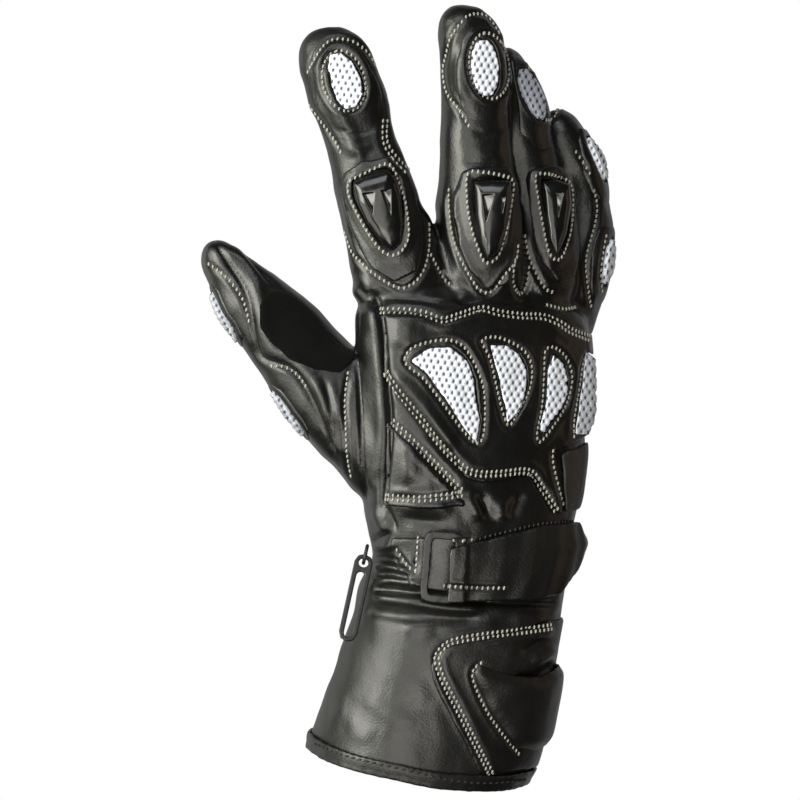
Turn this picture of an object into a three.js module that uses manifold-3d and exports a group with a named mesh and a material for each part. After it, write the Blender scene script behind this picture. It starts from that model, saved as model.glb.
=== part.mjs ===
// A right-hand leather motorcycle gauntlet, standing as it does on a hand held upright.
// Millimetres, +Z up to the fingertips, -Y out of the back of the hand, -X to the thumb side.
// The origin is the middle of the wrist hollow, under the strap.
// The pieces are laid out on a pattern plane, X across and Z up, which looks straight at the
// index finger. The whole glove is turned by PATTERN_TURN at the end, so the hand faces -Y.
import * as THREE from "three";
import { mergeVertices } from "three/addons/utils/BufferGeometryUtils.js";
import Module from "manifold-3d";

const wasm = await Module();
wasm.setup();

// Hand: over the leather, without pads.
const PATTERN_TURN = 25; // degrees
const HAND_WIDTH = 90;
const HAND_THICK = 41;
const HAND_LENGTH = 100; // wrist line to the finger roots
const HAND_ROLL = 28; // degrees that the knuckle line turns away on the pattern plane
const KNUCKLE_ROUND = 13; // length over which the hand's tube rounds in at the knuckles
const WRIST_SEAM = -14; // height of the seam between hand and cuff

// Fingers and thumb.
const FINGER_LENGTH = 113; // middle finger, from its root inside the hand
const FINGER_WIDTH = 28;
const FINGER_THICK = 24.5;
const THUMB_LENGTH = 110;
const THUMB_WIDTH = 27;
const THUMB_THICK = 33;

// Cuff.
const CUFF_LENGTH = 61;
const CUFF_WIDTH = 80;
const CUFF_THICK = 64;
const HEM_WIDTH = 5;
const HEM_THICK = 1.3;

// Leather, pads and hardware.
const WALL = 1.9;
const GAP = 0.35; // every seam and seat
const FACET = 0.1; // how far a facet may leave the true surface
const LAYER = 1.6; // one flat overlay of leather
const PAD = 3.0; // foam-backed overlay
const MESH_LAYER = 3.4; // reflective mesh over foam, which stands a little proud of its frame
const GUARD_HEIGHT = 5.0;
const CUFF_GUARD_HEIGHT = 5.0;
const STRAP_THICK = 3.4; // both layers
const STRAP_HEIGHT = 26;
const RING_WIDTH = 13.8;
const RING_HEIGHT = 25;
const RING_BAR = 2.7;
const RING_THICK = 2.5;
const CLIP_WIDTH = 6.6;
const CLIP_LENGTH = 33;
const CLIP_BAR = 1.5;
const CORD = 1.4; // diameter
const CORD_REACH = 3.2; // half the width of its loop
const CORD_DROP = 6.5; // from the leather to the eye of the clip

const leather = new THREE.MeshStandardMaterial({ color: 0x141312, roughness: 0.42, metalness: 0 });
const suede = new THREE.MeshStandardMaterial({ color: 0x101010, roughness: 0.95, metalness: 0 });
const whiteMesh = new THREE.MeshStandardMaterial({ color: 0xe9ebee, roughness: 0.6, metalness: 0 });
const hardPlastic = new THREE.MeshStandardMaterial({ color: 0x0d0d0e, roughness: 0.18, metalness: 0 });

// Catmull-Rom value of one column of a table whose rows are placed by their `at`.
function between(rows, column, at) {
  const last = rows.length - 2;
  const i = Math.max(0, Math.min(last, rows.findIndex((row) => row.at > at) - 1));
  const k = at >= rows[last + 1].at ? last : i;
  const [a, b] = [rows[k], rows[k + 1]];
  const before = rows[Math.max(0, k - 1)];
  const after = rows[Math.min(last + 1, k + 2)];
  const span = b.at - a.at;
  const t = (at - a.at) / span;
  const slopeA = ((b[column] - before[column]) / (b.at - before.at || span)) * span;
  const slopeB = ((after[column] - a[column]) / (after.at - a.at || span)) * span;
  const [t2, t3] = [t * t, t * t * t];
  return (
    (2 * t3 - 3 * t2 + 1) * a[column] +
    (t3 - 2 * t2 + t) * slopeA +
    (3 * t2 - 2 * t3) * b[column] +
    (t3 - t2) * slopeB
  );
}

// A limb is a tube through a table of sections: centre x, y, z, full wide and thick, and roll, the
// turn of its back from -Y towards +X. `level` limbs have flat sections tipped by `lean` alone.
function limbOf({ rows, length, tipRound = 0, level = false, square = 2.3 }) {
  const centre = (at) =>
    new THREE.Vector3(between(rows, "x", at), between(rows, "y", at), between(rows, "z", at));
  const axisAt = (at) => {
    if (level) {
      const lean = THREE.MathUtils.degToRad(between(rows, "lean", at));
      const down = Math.sign(rows.at(-1).z - rows[0].z);
      return new THREE.Vector3(down * Math.sin(lean), 0, down * Math.cos(lean));
    }
    const step = 0.02;
    return centre(Math.min(1, at + step)).sub(centre(Math.max(0, at - step))).normalize();
  };
  // Across, along and out are the section's own right-handed axes.
  const frameAt = (at) => {
    const along = axisAt(at);
    const back = new THREE.Vector3(0, -1, 0).addScaledVector(along, along.y).normalize();
    const side = new THREE.Vector3().crossVectors(along, back);
    const roll = THREE.MathUtils.degToRad(between(rows, "roll", at));
    const out = back.clone().multiplyScalar(Math.cos(roll)).addScaledVector(side, Math.sin(roll));
    const across = new THREE.Vector3().crossVectors(along, out);
    return { origin: centre(at), across, along, out };
  };
  const ring = (s, grow, sides) => {
    const at = Math.min(1, Math.max(0, s / length));
    const { origin, across, along, out } = frameAt(at);
    origin.addScaledVector(along, s - at * length);
    const left = length + (tipRound ? grow : 0) - s;
    const round = tipRound + grow;
    const shrink = tipRound && left < round ? Math.sqrt(Math.max(0, 1 - (1 - left / round) ** 2)) : 1;
    const wide = (between(rows, "wide", at) / 2 + grow) * shrink;
    const thick = (between(rows, "thick", at) / 2 + grow) * shrink;
    return Array.from({ length: sides }, (_, i) => {
      const turn = (2 * Math.PI * (i + 0.5)) / sides;
      const bend = (v) => Math.sign(v) * Math.abs(v) ** (2 / square);
      return origin
        .clone()
        .addScaledVector(across, wide * bend(Math.cos(turn)))
        .addScaledVector(out, thick * bend(Math.sin(turn)));
    });
  };
  return { rows, length, tipRound, frameAt, ring };
}

// The closed skin of a limb, grown by `grow`, from `from` to `to` millimetres along it.
function skin(limb, grow, { sides = 18, rings = 10, from = 0, to } = {}) {
  const end = to ?? limb.length + (limb.tipRound ? grow : 0);
  const round = limb.tipRound && to === undefined ? limb.tipRound + grow : 0;
  const stops = Array.from({ length: rings }, (_, i) => from + ((end - round - from) * i) / (rings - 1));
  const domeTurns = round ? [32, 62] : [];
  for (const turn of domeTurns) stops.push(end - round * (1 - Math.sin(THREE.MathUtils.degToRad(turn))));
  const points = stops.flatMap((s) => limb.ring(s, grow, sides));
  const faces = [];
  for (let i = 0; i < stops.length - 1; i++)
    for (let j = 0; j < sides; j++) {
      const [a, b] = [i * sides + j, i * sides + ((j + 1) % sides)];
      faces.push(a, a + sides, b, b, a + sides, b + sides);
    }
  const middle = (i) =>
    points
      .slice(i * sides, (i + 1) * sides)
      .reduce((sum, p) => sum.add(p), new THREE.Vector3())
      .divideScalar(sides);
  const last = stops.length - 1;
  points.push(middle(0), middle(last));
  for (let j = 0; j < sides; j++) {
    const next = (j + 1) % sides;
    faces.push(points.length - 2, j, next, points.length - 1, last * sides + next, last * sides + j);
  }
  const geometry = new THREE.BufferGeometry().setFromPoints(points).setIndex(faces);
  return solidOf(geometry);
}

// A closed three.js geometry as a solid that can be joined and cut.
function solidOf(geometry) {
  const bare = geometry.clone();
  bare.deleteAttribute("normal");
  bare.deleteAttribute("uv");
  const merged = mergeVertices(bare, 1e-4);
  return new wasm.Manifold(
    new wasm.Mesh({
      numProp: 3,
      vertProperties: new Float32Array(merged.attributes.position.array),
      triVerts: new Uint32Array(merged.index.array),
    }),
  );
}

const joined = (solids) => solids.reduce((sum, next) => sum.add(next));
const largest = (solid) =>
  solid.decompose().reduce((big, next) => (next.volume() > big.volume() ? next : big));

// A smooth closed outline through a few points.
function smoothOutline(points, count = 12) {
  const corners = points.map(([x, y]) => new THREE.Vector3(x, y, 0));
  const curve = new THREE.CatmullRomCurve3(corners, true, "centripetal");
  return curve.getSpacedPoints(count).slice(0, count).map((p) => [p.x, p.y]);
}

// An outline moved outwards by `by` along its own normals.
function grown(points, by) {
  const area = points.reduce((sum, [x, y], i) => {
    const [nx, ny] = points[(i + 1) % points.length];
    return sum + x * ny - nx * y;
  }, 0);
  return points.map(([x, y], i) => {
    const [ax, ay] = points.at(i - 1);
    const [bx, by2] = points[(i + 1) % points.length];
    const before = new THREE.Vector2(y - ay, ax - x).normalize();
    const after = new THREE.Vector2(by2 - y, x - bx).normalize();
    const mid = before.add(after).normalize().multiplyScalar(Math.sign(area) * by);
    return [x + mid.x, y + mid.y];
  });
}

// A block with the given outline in a frame's across and along, reaching out along its normal.
function block(points, frame, low, high, bevel = 0) {
  const shape = new THREE.Shape(points.map(([x, y]) => new THREE.Vector2(x, y)));
  const geometry = new THREE.ExtrudeGeometry(shape, {
    depth: high - low - 2 * bevel,
    bevelEnabled: bevel > 0,
    bevelThickness: bevel,
    bevelSize: bevel,
    bevelOffset: -bevel,
    bevelSegments: 1,
  });
  geometry.translate(0, 0, low + bevel);
  const place = new THREE.Matrix4().makeBasis(frame.across, frame.along, frame.out).setPosition(frame.origin);
  return solidOf(geometry.applyMatrix4(place));
}

// The hand's tube, wrist seam to knuckles. Shares of its width, thickness and length.
const HAND_SECTIONS = [
  { at: 0.0, x: -0.095, y: 0.0, wide: 0.83, thick: 1.22, roll: 0.6, lean: 8 },
  { at: 0.13, x: -0.045, y: 0.0, wide: 0.8, thick: 1.18, roll: 0.75, lean: 0 },
  { at: 0.25, x: -0.05, y: 0.0, wide: 0.845, thick: 1.15, roll: 0.9, lean: 0 },
  { at: 0.4, x: -0.045, y: 0.01, wide: 0.91, thick: 1.12, roll: 1, lean: 0 },
  { at: 0.6, x: -0.045, y: 0.03, wide: 0.975, thick: 1.08, roll: 1, lean: 0 },
  { at: 0.8, x: -0.04, y: 0.045, wide: 1.0, thick: 1.0, roll: 1, lean: 2 },
  { at: 1.0, x: -0.02, y: 0.065, wide: 0.99, thick: 0.94, roll: 1, lean: 5 },
];
const handSpan = HAND_LENGTH - WRIST_SEAM;
const hand = limbOf({
  rows: HAND_SECTIONS.map((row) => ({
    at: row.at,
    x: row.x * HAND_WIDTH,
    y: row.y * HAND_WIDTH,
    z: WRIST_SEAM + row.at * handSpan,
    wide: row.wide * HAND_WIDTH,
    thick: row.thick * HAND_THICK,
    roll: row.roll * HAND_ROLL,
    lean: row.lean,
  })),
  length: handSpan,
  tipRound: KNUCKLE_ROUND,
  level: true,
  square: 2.35,
});

// Fingers. Roots are shares of the hand's width and length, sizes shares of the middle finger's.
// lean tips to the thumb side, tilt away from the viewer, bow is the sideways arch of the whole.
const FINGERS = [
  { name: "index", x: -0.272, y: -0.09, z: 0.84, length: 0.972, wide: 1.0, thick: 0.97,
    lean: 16.7, tilt: 4, roll: 5, tipRoll: 5, bow: -0.03, padAt: 0.385, tipAt: 0.81, guardWide: 0.6 },
  { name: "middle", x: -0.005, y: -0.02, z: 0.84, length: 1.01, wide: 0.98, thick: 1.0,
    lean: 3.2, tilt: 3, roll: 13, tipRoll: 30, bow: 0.03, padAt: 0.335, tipAt: 0.79, guardWide: 0.49 },
  { name: "ring", x: 0.215, y: 0.13, z: 0.83, length: 0.895, wide: 0.92, thick: 0.95,
    lean: 9, tilt: 5, roll: 36, tipRoll: 52, bow: 0.2, padAt: 0.395, tipAt: 0.81, guardWide: 0.49 },
  { name: "little", x: 0.368, y: 0.31, z: 0.79, length: 0.74, wide: 0.84, thick: 0.86,
    lean: 5.2, tilt: 6, roll: 66, tipRoll: 72, bow: 0.22, padAt: 0.315, tipAt: 0.745, guardWide: 0 },
];
// The shape along every finger: narrow where it starts inside the hand, full at the knuckle,
// slim between the joints, full at the tip.
const FINGER_SECTIONS = [
  { at: 0.0, wide: 0.6, thick: 0.6 },
  { at: 0.1, wide: 1.1, thick: 0.96 },
  { at: 0.24, wide: 1.18, thick: 1.03 },
  { at: 0.4, wide: 1.04, thick: 1.02 },
  { at: 0.55, wide: 0.92, thick: 0.92 },
  { at: 0.75, wide: 0.96, thick: 0.9 },
  { at: 0.9, wide: 0.92, thick: 0.82 },
  { at: 1.0, wide: 0.84, thick: 0.74 },
];
const TIP_ROUND = 0.42; // share of the finger's width

function fingerLimb(finger) {
  const length = finger.length * FINGER_LENGTH;
  const width = finger.wide * FINGER_WIDTH;
  const lean = THREE.MathUtils.degToRad(finger.lean);
  const tilt = THREE.MathUtils.degToRad(finger.tilt);
  const rows = FINGER_SECTIONS.map(({ at, wide, thick }) => ({
    at,
    x: finger.x * HAND_WIDTH - Math.sin(lean) * length * at + finger.bow * width * 4 * at * (1 - at),
    y: finger.y * HAND_WIDTH + Math.sin(tilt) * length * at,
    z: finger.z * HAND_LENGTH + Math.cos(lean) * Math.cos(tilt) * length * at,
    wide: wide * width,
    thick: thick * finger.thick * FINGER_THICK,
    roll: finger.roll + (finger.tipRoll - finger.roll) * at,
  }));
  return limbOf({ rows, length, tipRound: TIP_ROUND * width });
}
const fingers = FINGERS.map((finger) => ({ ...finger, limb: fingerLimb(finger) }));

// The thumb, root to tip, in shares of its length, width and thickness. Its back faces -X.
const THUMB_SECTIONS = [
  { at: 0.0, x: 0.0, z: 0.0, wide: 0.9, thick: 0.86 },
  { at: 0.2, x: -0.135, z: 0.15, wide: 1.3, thick: 1.03 },
  { at: 0.4, x: -0.25, z: 0.31, wide: 1.22, thick: 1.02 },
  { at: 0.56, x: -0.355, z: 0.427, wide: 1.08, thick: 0.96 },
  { at: 0.72, x: -0.468, z: 0.547, wide: 0.96, thick: 0.84 },
  { at: 0.88, x: -0.572, z: 0.665, wide: 0.86, thick: 0.6 },
  { at: 1.0, x: -0.628, z: 0.765, wide: 0.74, thick: 0.36 },
];
const THUMB_ROOT = { x: -0.29, y: -0.07, z: 0.28 }; // shares of the hand's width and length
const THUMB_ROLL = -78; // degrees
const THUMB_TILT = 5; // degrees that the tip leans away from the viewer
const thumbBack = Math.tan(THREE.MathUtils.degToRad(THUMB_TILT));
const thumb = limbOf({
  rows: THUMB_SECTIONS.map(({ at, x, z, wide, thick }) => ({
    at,
    x: THUMB_ROOT.x * HAND_WIDTH + x * THUMB_LENGTH,
    y: THUMB_ROOT.y * HAND_WIDTH + thumbBack * at * THUMB_LENGTH,
    z: THUMB_ROOT.z * HAND_LENGTH + z * THUMB_LENGTH,
    wide: wide * THUMB_WIDTH,
    thick: thick * THUMB_THICK,
    roll: THUMB_ROLL,
  })),
  length: THUMB_LENGTH,
  tipRound: 0.2 * THUMB_WIDTH,
});

// The cuff, seam to hem. It takes the hand's own last section and flares from it.
const CUFF_SECTIONS = [
  { at: 0.0, side: 0.0, back: 0.0, wide: 0.95, thick: 0.8, lean: 8 },
  { at: 0.2, side: -0.03, back: 0.0, wide: 0.92, thick: 0.84, lean: 9 },
  { at: 0.5, side: -0.105, back: 0.02, wide: 0.965, thick: 0.88, lean: 10 },
  { at: 0.8, side: -0.172, back: 0.05, wide: 1.0, thick: 0.95, lean: 10.5 },
  { at: 1.0, side: -0.233, back: 0.08, wide: 1.01, thick: 1.0, lean: 10.5 },
];
const handFoot = hand.rows[0];
const cuff = limbOf({
  rows: CUFF_SECTIONS.map((row, i) => ({
    at: row.at,
    x: handFoot.x + row.side * CUFF_LENGTH,
    y: handFoot.y + row.back * CUFF_LENGTH,
    z: WRIST_SEAM - GAP - row.at * CUFF_LENGTH * 0.97,
    wide: i ? row.wide * CUFF_WIDTH : handFoot.wide,
    thick: i ? row.thick * CUFF_THICK : handFoot.thick,
    roll: -(handFoot.roll + row.at * (HAND_ROLL - handFoot.roll)), // its sections face down
    lean: row.lean,
  })),
  length: CUFF_LENGTH,
  level: true,
});

// How finely each skin is divided.
const HAND_MESH = { sides: 24, rings: 7 };
const LINING_MESH = { sides: 16, rings: 7 };
const FINGER_MESH = { sides: 12, rings: 7 };
const BORE_MESH = { sides: 8, rings: 7 };
const CUFF_MESH = { sides: 26, rings: 5 };

const digits = [...fingers.map((finger) => finger.limb), thumb];
const handSkin = (grow) => skin(hand, grow, HAND_MESH);
const digitSkin = (limb, grow) => skin(limb, grow, FINGER_MESH);
const gloveAt = new Map();
// The whole upper glove, hand and digits, grown by a height.
function glove(grow) {
  if (!gloveAt.has(grow))
    gloveAt.set(grow, joined([handSkin(grow), ...digits.map((limb) => digitSkin(limb, grow))]));
  return gloveAt.get(grow);
}
const cuffSkin = (grow, from = 0, to = cuff.length, rings = CUFF_MESH.rings) =>
  skin(cuff, grow, { ...CUFF_MESH, from, to, rings });

const group = new THREE.Group();
function piece(name, solid, material) {
  const got = largest(solid.simplify(FACET)).getMesh();
  const geometry = new THREE.BufferGeometry();
  const positions = new Float32Array(got.numVert * 3);
  for (let i = 0; i < got.numVert; i++)
    positions.set(got.vertProperties.subarray(i * got.numProp, i * got.numProp + 3), i * 3);
  geometry.setAttribute("position", new THREE.BufferAttribute(positions, 3));
  geometry.setIndex(new THREE.BufferAttribute(got.triVerts, 1));
  const mesh = new THREE.Mesh(geometry, material);
  mesh.name = name;
  group.add(mesh);
}

// Half spaces on the two sides of the side seam, as big slabs turned with the hand.
const SEAM_SHARE = 0.47; // of the hand's half thickness, towards its back
const FAR = 4 * HAND_LENGTH;
const handFrame = hand.frameAt(0.75);
function slab(low, high) {
  const side = [[-FAR, -FAR], [FAR, -FAR], [FAR, FAR], [-FAR, FAR]];
  return block(side, handFrame, low, high);
}
const seamHeight = (SEAM_SHARE * HAND_THICK) / 2;
const backSide = slab(seamHeight + GAP / 2, FAR);
const palmSide = slab(-FAR, seamHeight - GAP / 2);
const dorsal = slab(0, FAR);

// Leather shell: back of the hand, palm, five stalls.
const lining = joined([
  skin(hand, -WALL, { ...LINING_MESH, from: -WALL }),
  ...digits.map((limb) => skin(limb, -WALL, BORE_MESH)),
]);
const handShell = handSkin(0).subtract(lining);
piece("back_of_hand", handShell.intersect(backSide), leather);
piece("palm", handShell.intersect(palmSide), leather);

function stall(limb, neighbours) {
  const wall = digitSkin(limb, 0).subtract(skin(limb, -WALL, BORE_MESH));
  const around = joined([handSkin(GAP), ...neighbours.map((other) => digitSkin(other, GAP))]);
  return largest(wall.subtract(around));
}
fingers.forEach((finger, i) => {
  const neighbours = i ? [fingers[i - 1].limb] : [];
  piece(`${finger.name}_stall`, stall(finger.limb, neighbours), leather);
});
piece("thumb_stall", stall(thumb, []), leather);

// Overlays of the back of the hand, drawn on the pattern plane in shares of the hand's width and length.
const BACK_PANEL = [
  [-0.4, 0.9], [-0.33, 0.897], [-0.255, 0.893], [-0.175, 0.866], [-0.115, 0.871], [-0.055, 0.896],
  [0.005, 0.903], [0.065, 0.892], [0.18, 0.879], [0.28, 0.874], [0.36, 0.84], [0.43, 0.805],
  [0.6, 0.79], [0.6, 0.465], [0.416, 0.443], [0.31, 0.41], [0.28, 0.39], [0.291, 0.27],
  [0.3, 0.175], [0.285, 0.18], [0.242, 0.25], [0.19, 0.318], [0.145, 0.321], [0.065, 0.304],
  [-0.015, 0.3], [-0.076, 0.322], [-0.115, 0.375], [-0.175, 0.436], [-0.255, 0.518], [-0.333, 0.596],
  [-0.397, 0.668],
];
const WINDOWS = [
  [[-0.286, 0.719], [-0.211, 0.761], [-0.126, 0.761], [-0.063, 0.712], [-0.034, 0.629], [-0.02, 0.536],
   [-0.023, 0.429], [-0.076, 0.471], [-0.147, 0.554], [-0.231, 0.668]],
  [[0.023, 0.779], [0.067, 0.78], [0.123, 0.751], [0.166, 0.714], [0.179, 0.662], [0.169, 0.605],
   [0.138, 0.547], [0.096, 0.489], [0.088, 0.554], [0.067, 0.618], [0.043, 0.694]],
  [[0.278, 0.736], [0.307, 0.719], [0.332, 0.682], [0.339, 0.625], [0.326, 0.573], [0.293, 0.529],
   [0.25, 0.471], [0.227, 0.439], [0.222, 0.464], [0.237, 0.529], [0.254, 0.586], [0.262, 0.643],
   [0.264, 0.714]],
  [[0.41, 0.74], [0.45, 0.72], [0.5, 0.62], [0.47, 0.5], [0.41, 0.445], [0.364, 0.446],
   [0.364, 0.489], [0.373, 0.554], [0.393, 0.618], [0.399, 0.682]],
];
const THUMB_SIDE_PANEL = [[-0.389, 0.521], [-0.083, 0.232], [-0.083, 0.22], [-0.393, 0.22]];
const EDGE_PATCH = [
  [0.3, 0.382], [0.318, 0.389], [0.417, 0.42], [0.6, 0.44], [0.6, 0.2], [0.378, 0.175], [0.316, 0.175],
  [0.304, 0.268],
];

const patternFrame = {
  origin: new THREE.Vector3(),
  across: new THREE.Vector3(1, 0, 0),
  along: new THREE.Vector3(0, 0, 1),
  out: new THREE.Vector3(0, -1, 0),
};
const onHand = (outline) => outline.map(([x, z]) => [x * HAND_WIDTH, z * HAND_LENGTH]);
const patternBlock = (points) => block(points, patternFrame, -HAND_WIDTH, HAND_WIDTH).intersect(dorsal);
const laid = (solid, low, high) => solid.intersect(handSkin(high)).subtract(glove(low));

const windowOutlines = WINDOWS.map((outline) => smoothOutline(onHand(outline), 12));
const windowHoles = joined(windowOutlines.map((outline) => patternBlock(grown(outline, GAP))));
const backPanel = laid(patternBlock(onHand(BACK_PANEL)), GAP, PAD);
piece("back_panel", backPanel.intersect(backSide).subtract(windowHoles), leather);
windowOutlines.forEach((outline, i) =>
  piece(`back_mesh_${i + 1}`, laid(patternBlock(outline), GAP, MESH_LAYER).intersect(backSide), whiteMesh),
);
const thinLayer = (outline) => laid(patternBlock(onHand(outline)), GAP, LAYER + GAP).intersect(backSide);
piece("thumb_side_panel", thinLayer(THUMB_SIDE_PANEL), leather);
piece("edge_patch", thinLayer(EDGE_PATCH), suede);

// Finger overlays, in shares of the finger's own width (across) and length (along its middle).
const GUARD_OUTLINE = [
  [-0.42, 0.11], [0, 0.12], [0.42, 0.11], [0.5, 0.07], [0.38, -0.04], [0.1, -0.12], [-0.1, -0.12],
  [-0.38, -0.04], [-0.5, 0.07],
];
const GUARD_SLOT = [[-0.16, 0.06], [0.16, 0.06], [0, -0.045]];
const KNUCKLE_PAD = [
  [-0.36, 0.14], [0, 0.155], [0.36, 0.14], [0.47, 0.02], [0.42, -0.12], [0.2, -0.215], [0, -0.24],
  [-0.2, -0.215], [-0.42, -0.12], [-0.47, 0.02],
];
const TIP_PAD = [
  [-0.32, 0.09], [0, 0.16], [0.32, 0.09], [0.43, -0.06], [0.3, -0.18], [0, -0.2], [-0.3, -0.18],
  [-0.43, -0.06],
];
const TIP_OVAL = { across: 0.2, along: 0.09 };

const onFinger = (outline, width, length) => outline.map(([x, y]) => [x * width, y * length]);
function oval(across, along, count = 10) {
  const curve = new THREE.EllipseCurve(0, 0, across, along, 0, 2 * Math.PI);
  return curve.getPoints(count).slice(0, count).map((p) => [p.x, p.y]);
}
const REACH = FINGER_WIDTH;
// A layer over a digit inside an outline, between two heights over the leather.
function layer(limb, frame, points, low, high) {
  return block(points, frame, 0, REACH).intersect(digitSkin(limb, high)).subtract(glove(low));
}

function framedMesh(name, limb, at, frameOutline, holeOutline, neighbours = []) {
  const frame = limb.frameAt(at);
  const clear = neighbours.length ? joined(neighbours) : undefined;
  const trim = (solid) => (clear ? solid.subtract(clear) : solid);
  const hole = block(grown(holeOutline, GAP), frame, 0, REACH);
  piece(`${name}_pad`, trim(layer(limb, frame, frameOutline, GAP, LAYER + GAP).subtract(hole)), leather);
  piece(`${name}_mesh`, trim(layer(limb, frame, holeOutline, GAP, LAYER + 2 * GAP)), whiteMesh);
}

fingers.forEach(({ name, limb, wide, length: share, padAt, tipAt, guardWide }, i) => {
  const width = wide * FINGER_WIDTH;
  const length = Math.min(1, 1.1 * share) * FINGER_LENGTH;
  const beside = fingers.filter((_, j) => Math.abs(j - i) === 1);
  const others = beside.map((other) => digitSkin(other.limb, PAD + GAP));
  const ovalPoints = oval(TIP_OVAL.across * width, TIP_OVAL.along * length);
  const tipPoints = smoothOutline(onFinger(TIP_PAD, width, length));
  framedMesh(`${name}_tip`, limb, tipAt, tipPoints, ovalPoints, others);
  const padPoints = smoothOutline(onFinger(KNUCKLE_PAD, width, length), 13);
  if (name === "little") {
    framedMesh("little_knuckle", limb, padAt, padPoints, ovalPoints, others);
    return;
  }
  const frame = limb.frameAt(padAt);
  const guardPoints = smoothOutline(onFinger(GUARD_OUTLINE, guardWide * FINGER_WIDTH, length), 12);
  const well = block(grown(guardPoints, GAP), frame, 0, REACH);
  const pad = block(padPoints, frame, 0, REACH).intersect(glove(PAD)).subtract(glove(GAP)).subtract(well);
  piece(`${name}_knuckle_pad`, pad.subtract(joined(others)), leather);
  const top = (FINGER_SECTIONS[2].thick * limb.rows[2].thick) / 2 + GUARD_HEIGHT;
  const dome = block(guardPoints, frame, 0, top, 2);
  const slot = block(onFinger(GUARD_SLOT, guardWide * FINGER_WIDTH, length), frame, top - 1.5, REACH);
  piece(`${name}_knuckle_guard`, dome.subtract(glove(GAP)).subtract(slot), hardPlastic);
});

// Thumb: two mesh ovals on its back and a soft patch on the side that meets the finger.
const THUMB_PAD = [
  [-0.28, 0.1], [0, 0.12], [0.28, 0.1], [0.36, 0], [0.28, -0.1], [0, -0.12], [-0.28, -0.1], [-0.36, 0],
];
const THUMB_MESH_AT = { thumb_knuckle: 0.43, thumb_tip: 0.8 };
Object.entries(THUMB_MESH_AT).forEach(([name, at]) => {
  const ovalPoints = oval(0.2 * THUMB_WIDTH, 0.09 * THUMB_LENGTH);
  framedMesh(name, thumb, at, smoothOutline(onFinger(THUMB_PAD, THUMB_WIDTH, THUMB_LENGTH)), ovalPoints);
});
const CROTCH_PATCH = [
  [-0.85, 0.97], [-0.78, 0.975], [-0.71, 0.93], [-0.65, 0.89], [-0.57, 0.8], [-0.53, 0.75],
  [-0.535, 0.7], [-0.57, 0.665], [-0.64, 0.665], [-0.71, 0.68], [-0.78, 0.71], [-0.85, 0.77],
  [-0.885, 0.83], [-0.885, 0.9],
];
const crotchBlock = block(smoothOutline(onHand(CROTCH_PATCH), 12), patternFrame, 0, HAND_WIDTH);
piece("crotch_patch", crotchBlock.intersect(digitSkin(thumb, LAYER)).subtract(glove(GAP)), suede);

// Wrist strap, in shares of the hand's width. It comes round the outer side of the wrist, turns
// back through the ring and ends in an angled tip that stands a little off the side.
const STRAP_FOOT = -11.6;
const STRAP_OUTLINE = [
  [-0.139, 0.088], [0.085, 0.128], [0.228, 0.156], [0.8, 0.164], [0.8, -0.1], [0.15, -0.129],
  [-0.15, -0.125],
];
const STRAP_FOLD = [[-0.139, 0.088], [-0.07, 0.1], [-0.082, -0.127], [-0.15, -0.125]];
const STRAP_TIP = [[-0.9, -0.14], [-0.16, -0.14], [0.04, 0.04], [0.05, 0.09], [-0.02, 0.17], [-0.9, 0.17]];
const STRAP_STAND_OFF = [
  { at: 0.0, out: 1.0 },
  { at: 0.4, out: 1.2 },
  { at: 0.72, out: 1.7 },
  { at: 1.0, out: 1.0 },
];
const strapLimb = limbOf({
  rows: STRAP_STAND_OFF.map(({ at, out }) => {
    const z = STRAP_FOOT + at * STRAP_HEIGHT;
    const onWrist = (column) => between(hand.rows, column, (z - WRIST_SEAM) / handSpan);
    return {
      at,
      z,
      x: onWrist("x"),
      y: onWrist("y"),
      roll: onWrist("roll"),
      lean: onWrist("lean"),
      wide: onWrist("wide") + 2 * (out * STRAP_THICK + GAP),
      thick: onWrist("thick") + 2 * (STRAP_THICK + GAP),
    };
  }),
  length: STRAP_HEIGHT,
  level: true,
  square: 2.35,
});
const onWrist = (outline) => outline.map(([x, z]) => [x * HAND_WIDTH, z * HAND_WIDTH]);
const sideFrame = {
  origin: new THREE.Vector3(),
  across: new THREE.Vector3(0, 1, 0),
  along: new THREE.Vector3(0, 0, 1),
  out: new THREE.Vector3(1, 0, 0),
};

const RING_LEAN = 5; // degrees
const ringTurn = THREE.MathUtils.degToRad(RING_LEAN);
const ringFrame = {
  origin: new THREE.Vector3(-0.171 * HAND_WIDTH, 0, 0.012 * HAND_WIDTH),
  across: new THREE.Vector3(Math.cos(ringTurn), 0, -Math.sin(ringTurn)),
  along: new THREE.Vector3(Math.sin(ringTurn), 0, Math.cos(ringTurn)),
  out: new THREE.Vector3(0, -1, 0),
};
// A rectangle with rounded corners, about the origin.
function roundedBox(width, height, corner) {
  const turns = [0, 45, 90];
  const centres = [[1, 1, 0], [-1, 1, 90], [-1, -1, 180], [1, -1, 270]];
  return centres.flatMap(([sx, sy, from]) =>
    turns.map((turn) => {
      const angle = THREE.MathUtils.degToRad(from + turn);
      const [x, y] = [sx * (width / 2 - corner), sy * (height / 2 - corner)];
      return [x + corner * Math.cos(angle), y + corner * Math.sin(angle)];
    }),
  );
}
const ringLow = LAYER + 2 * GAP;
const ringHigh = ringLow + RING_THICK;
function ringSolid(extra) {
  const outline = roundedBox(RING_WIDTH + 2 * extra, RING_HEIGHT + 2 * extra, 3);
  const outer = block(outline, ringFrame, 0, HAND_WIDTH);
  const [width, height] = [RING_WIDTH - 2 * RING_BAR - 2 * extra, RING_HEIGHT - 2 * RING_BAR - 2 * extra];
  const inner = block(roundedBox(width, height, 1.2), ringFrame, 0, HAND_WIDTH);
  return laid(outer.subtract(inner), ringLow - extra, ringHigh + extra);
}
piece("buckle_ring", ringSolid(0), hardPlastic);

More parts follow.
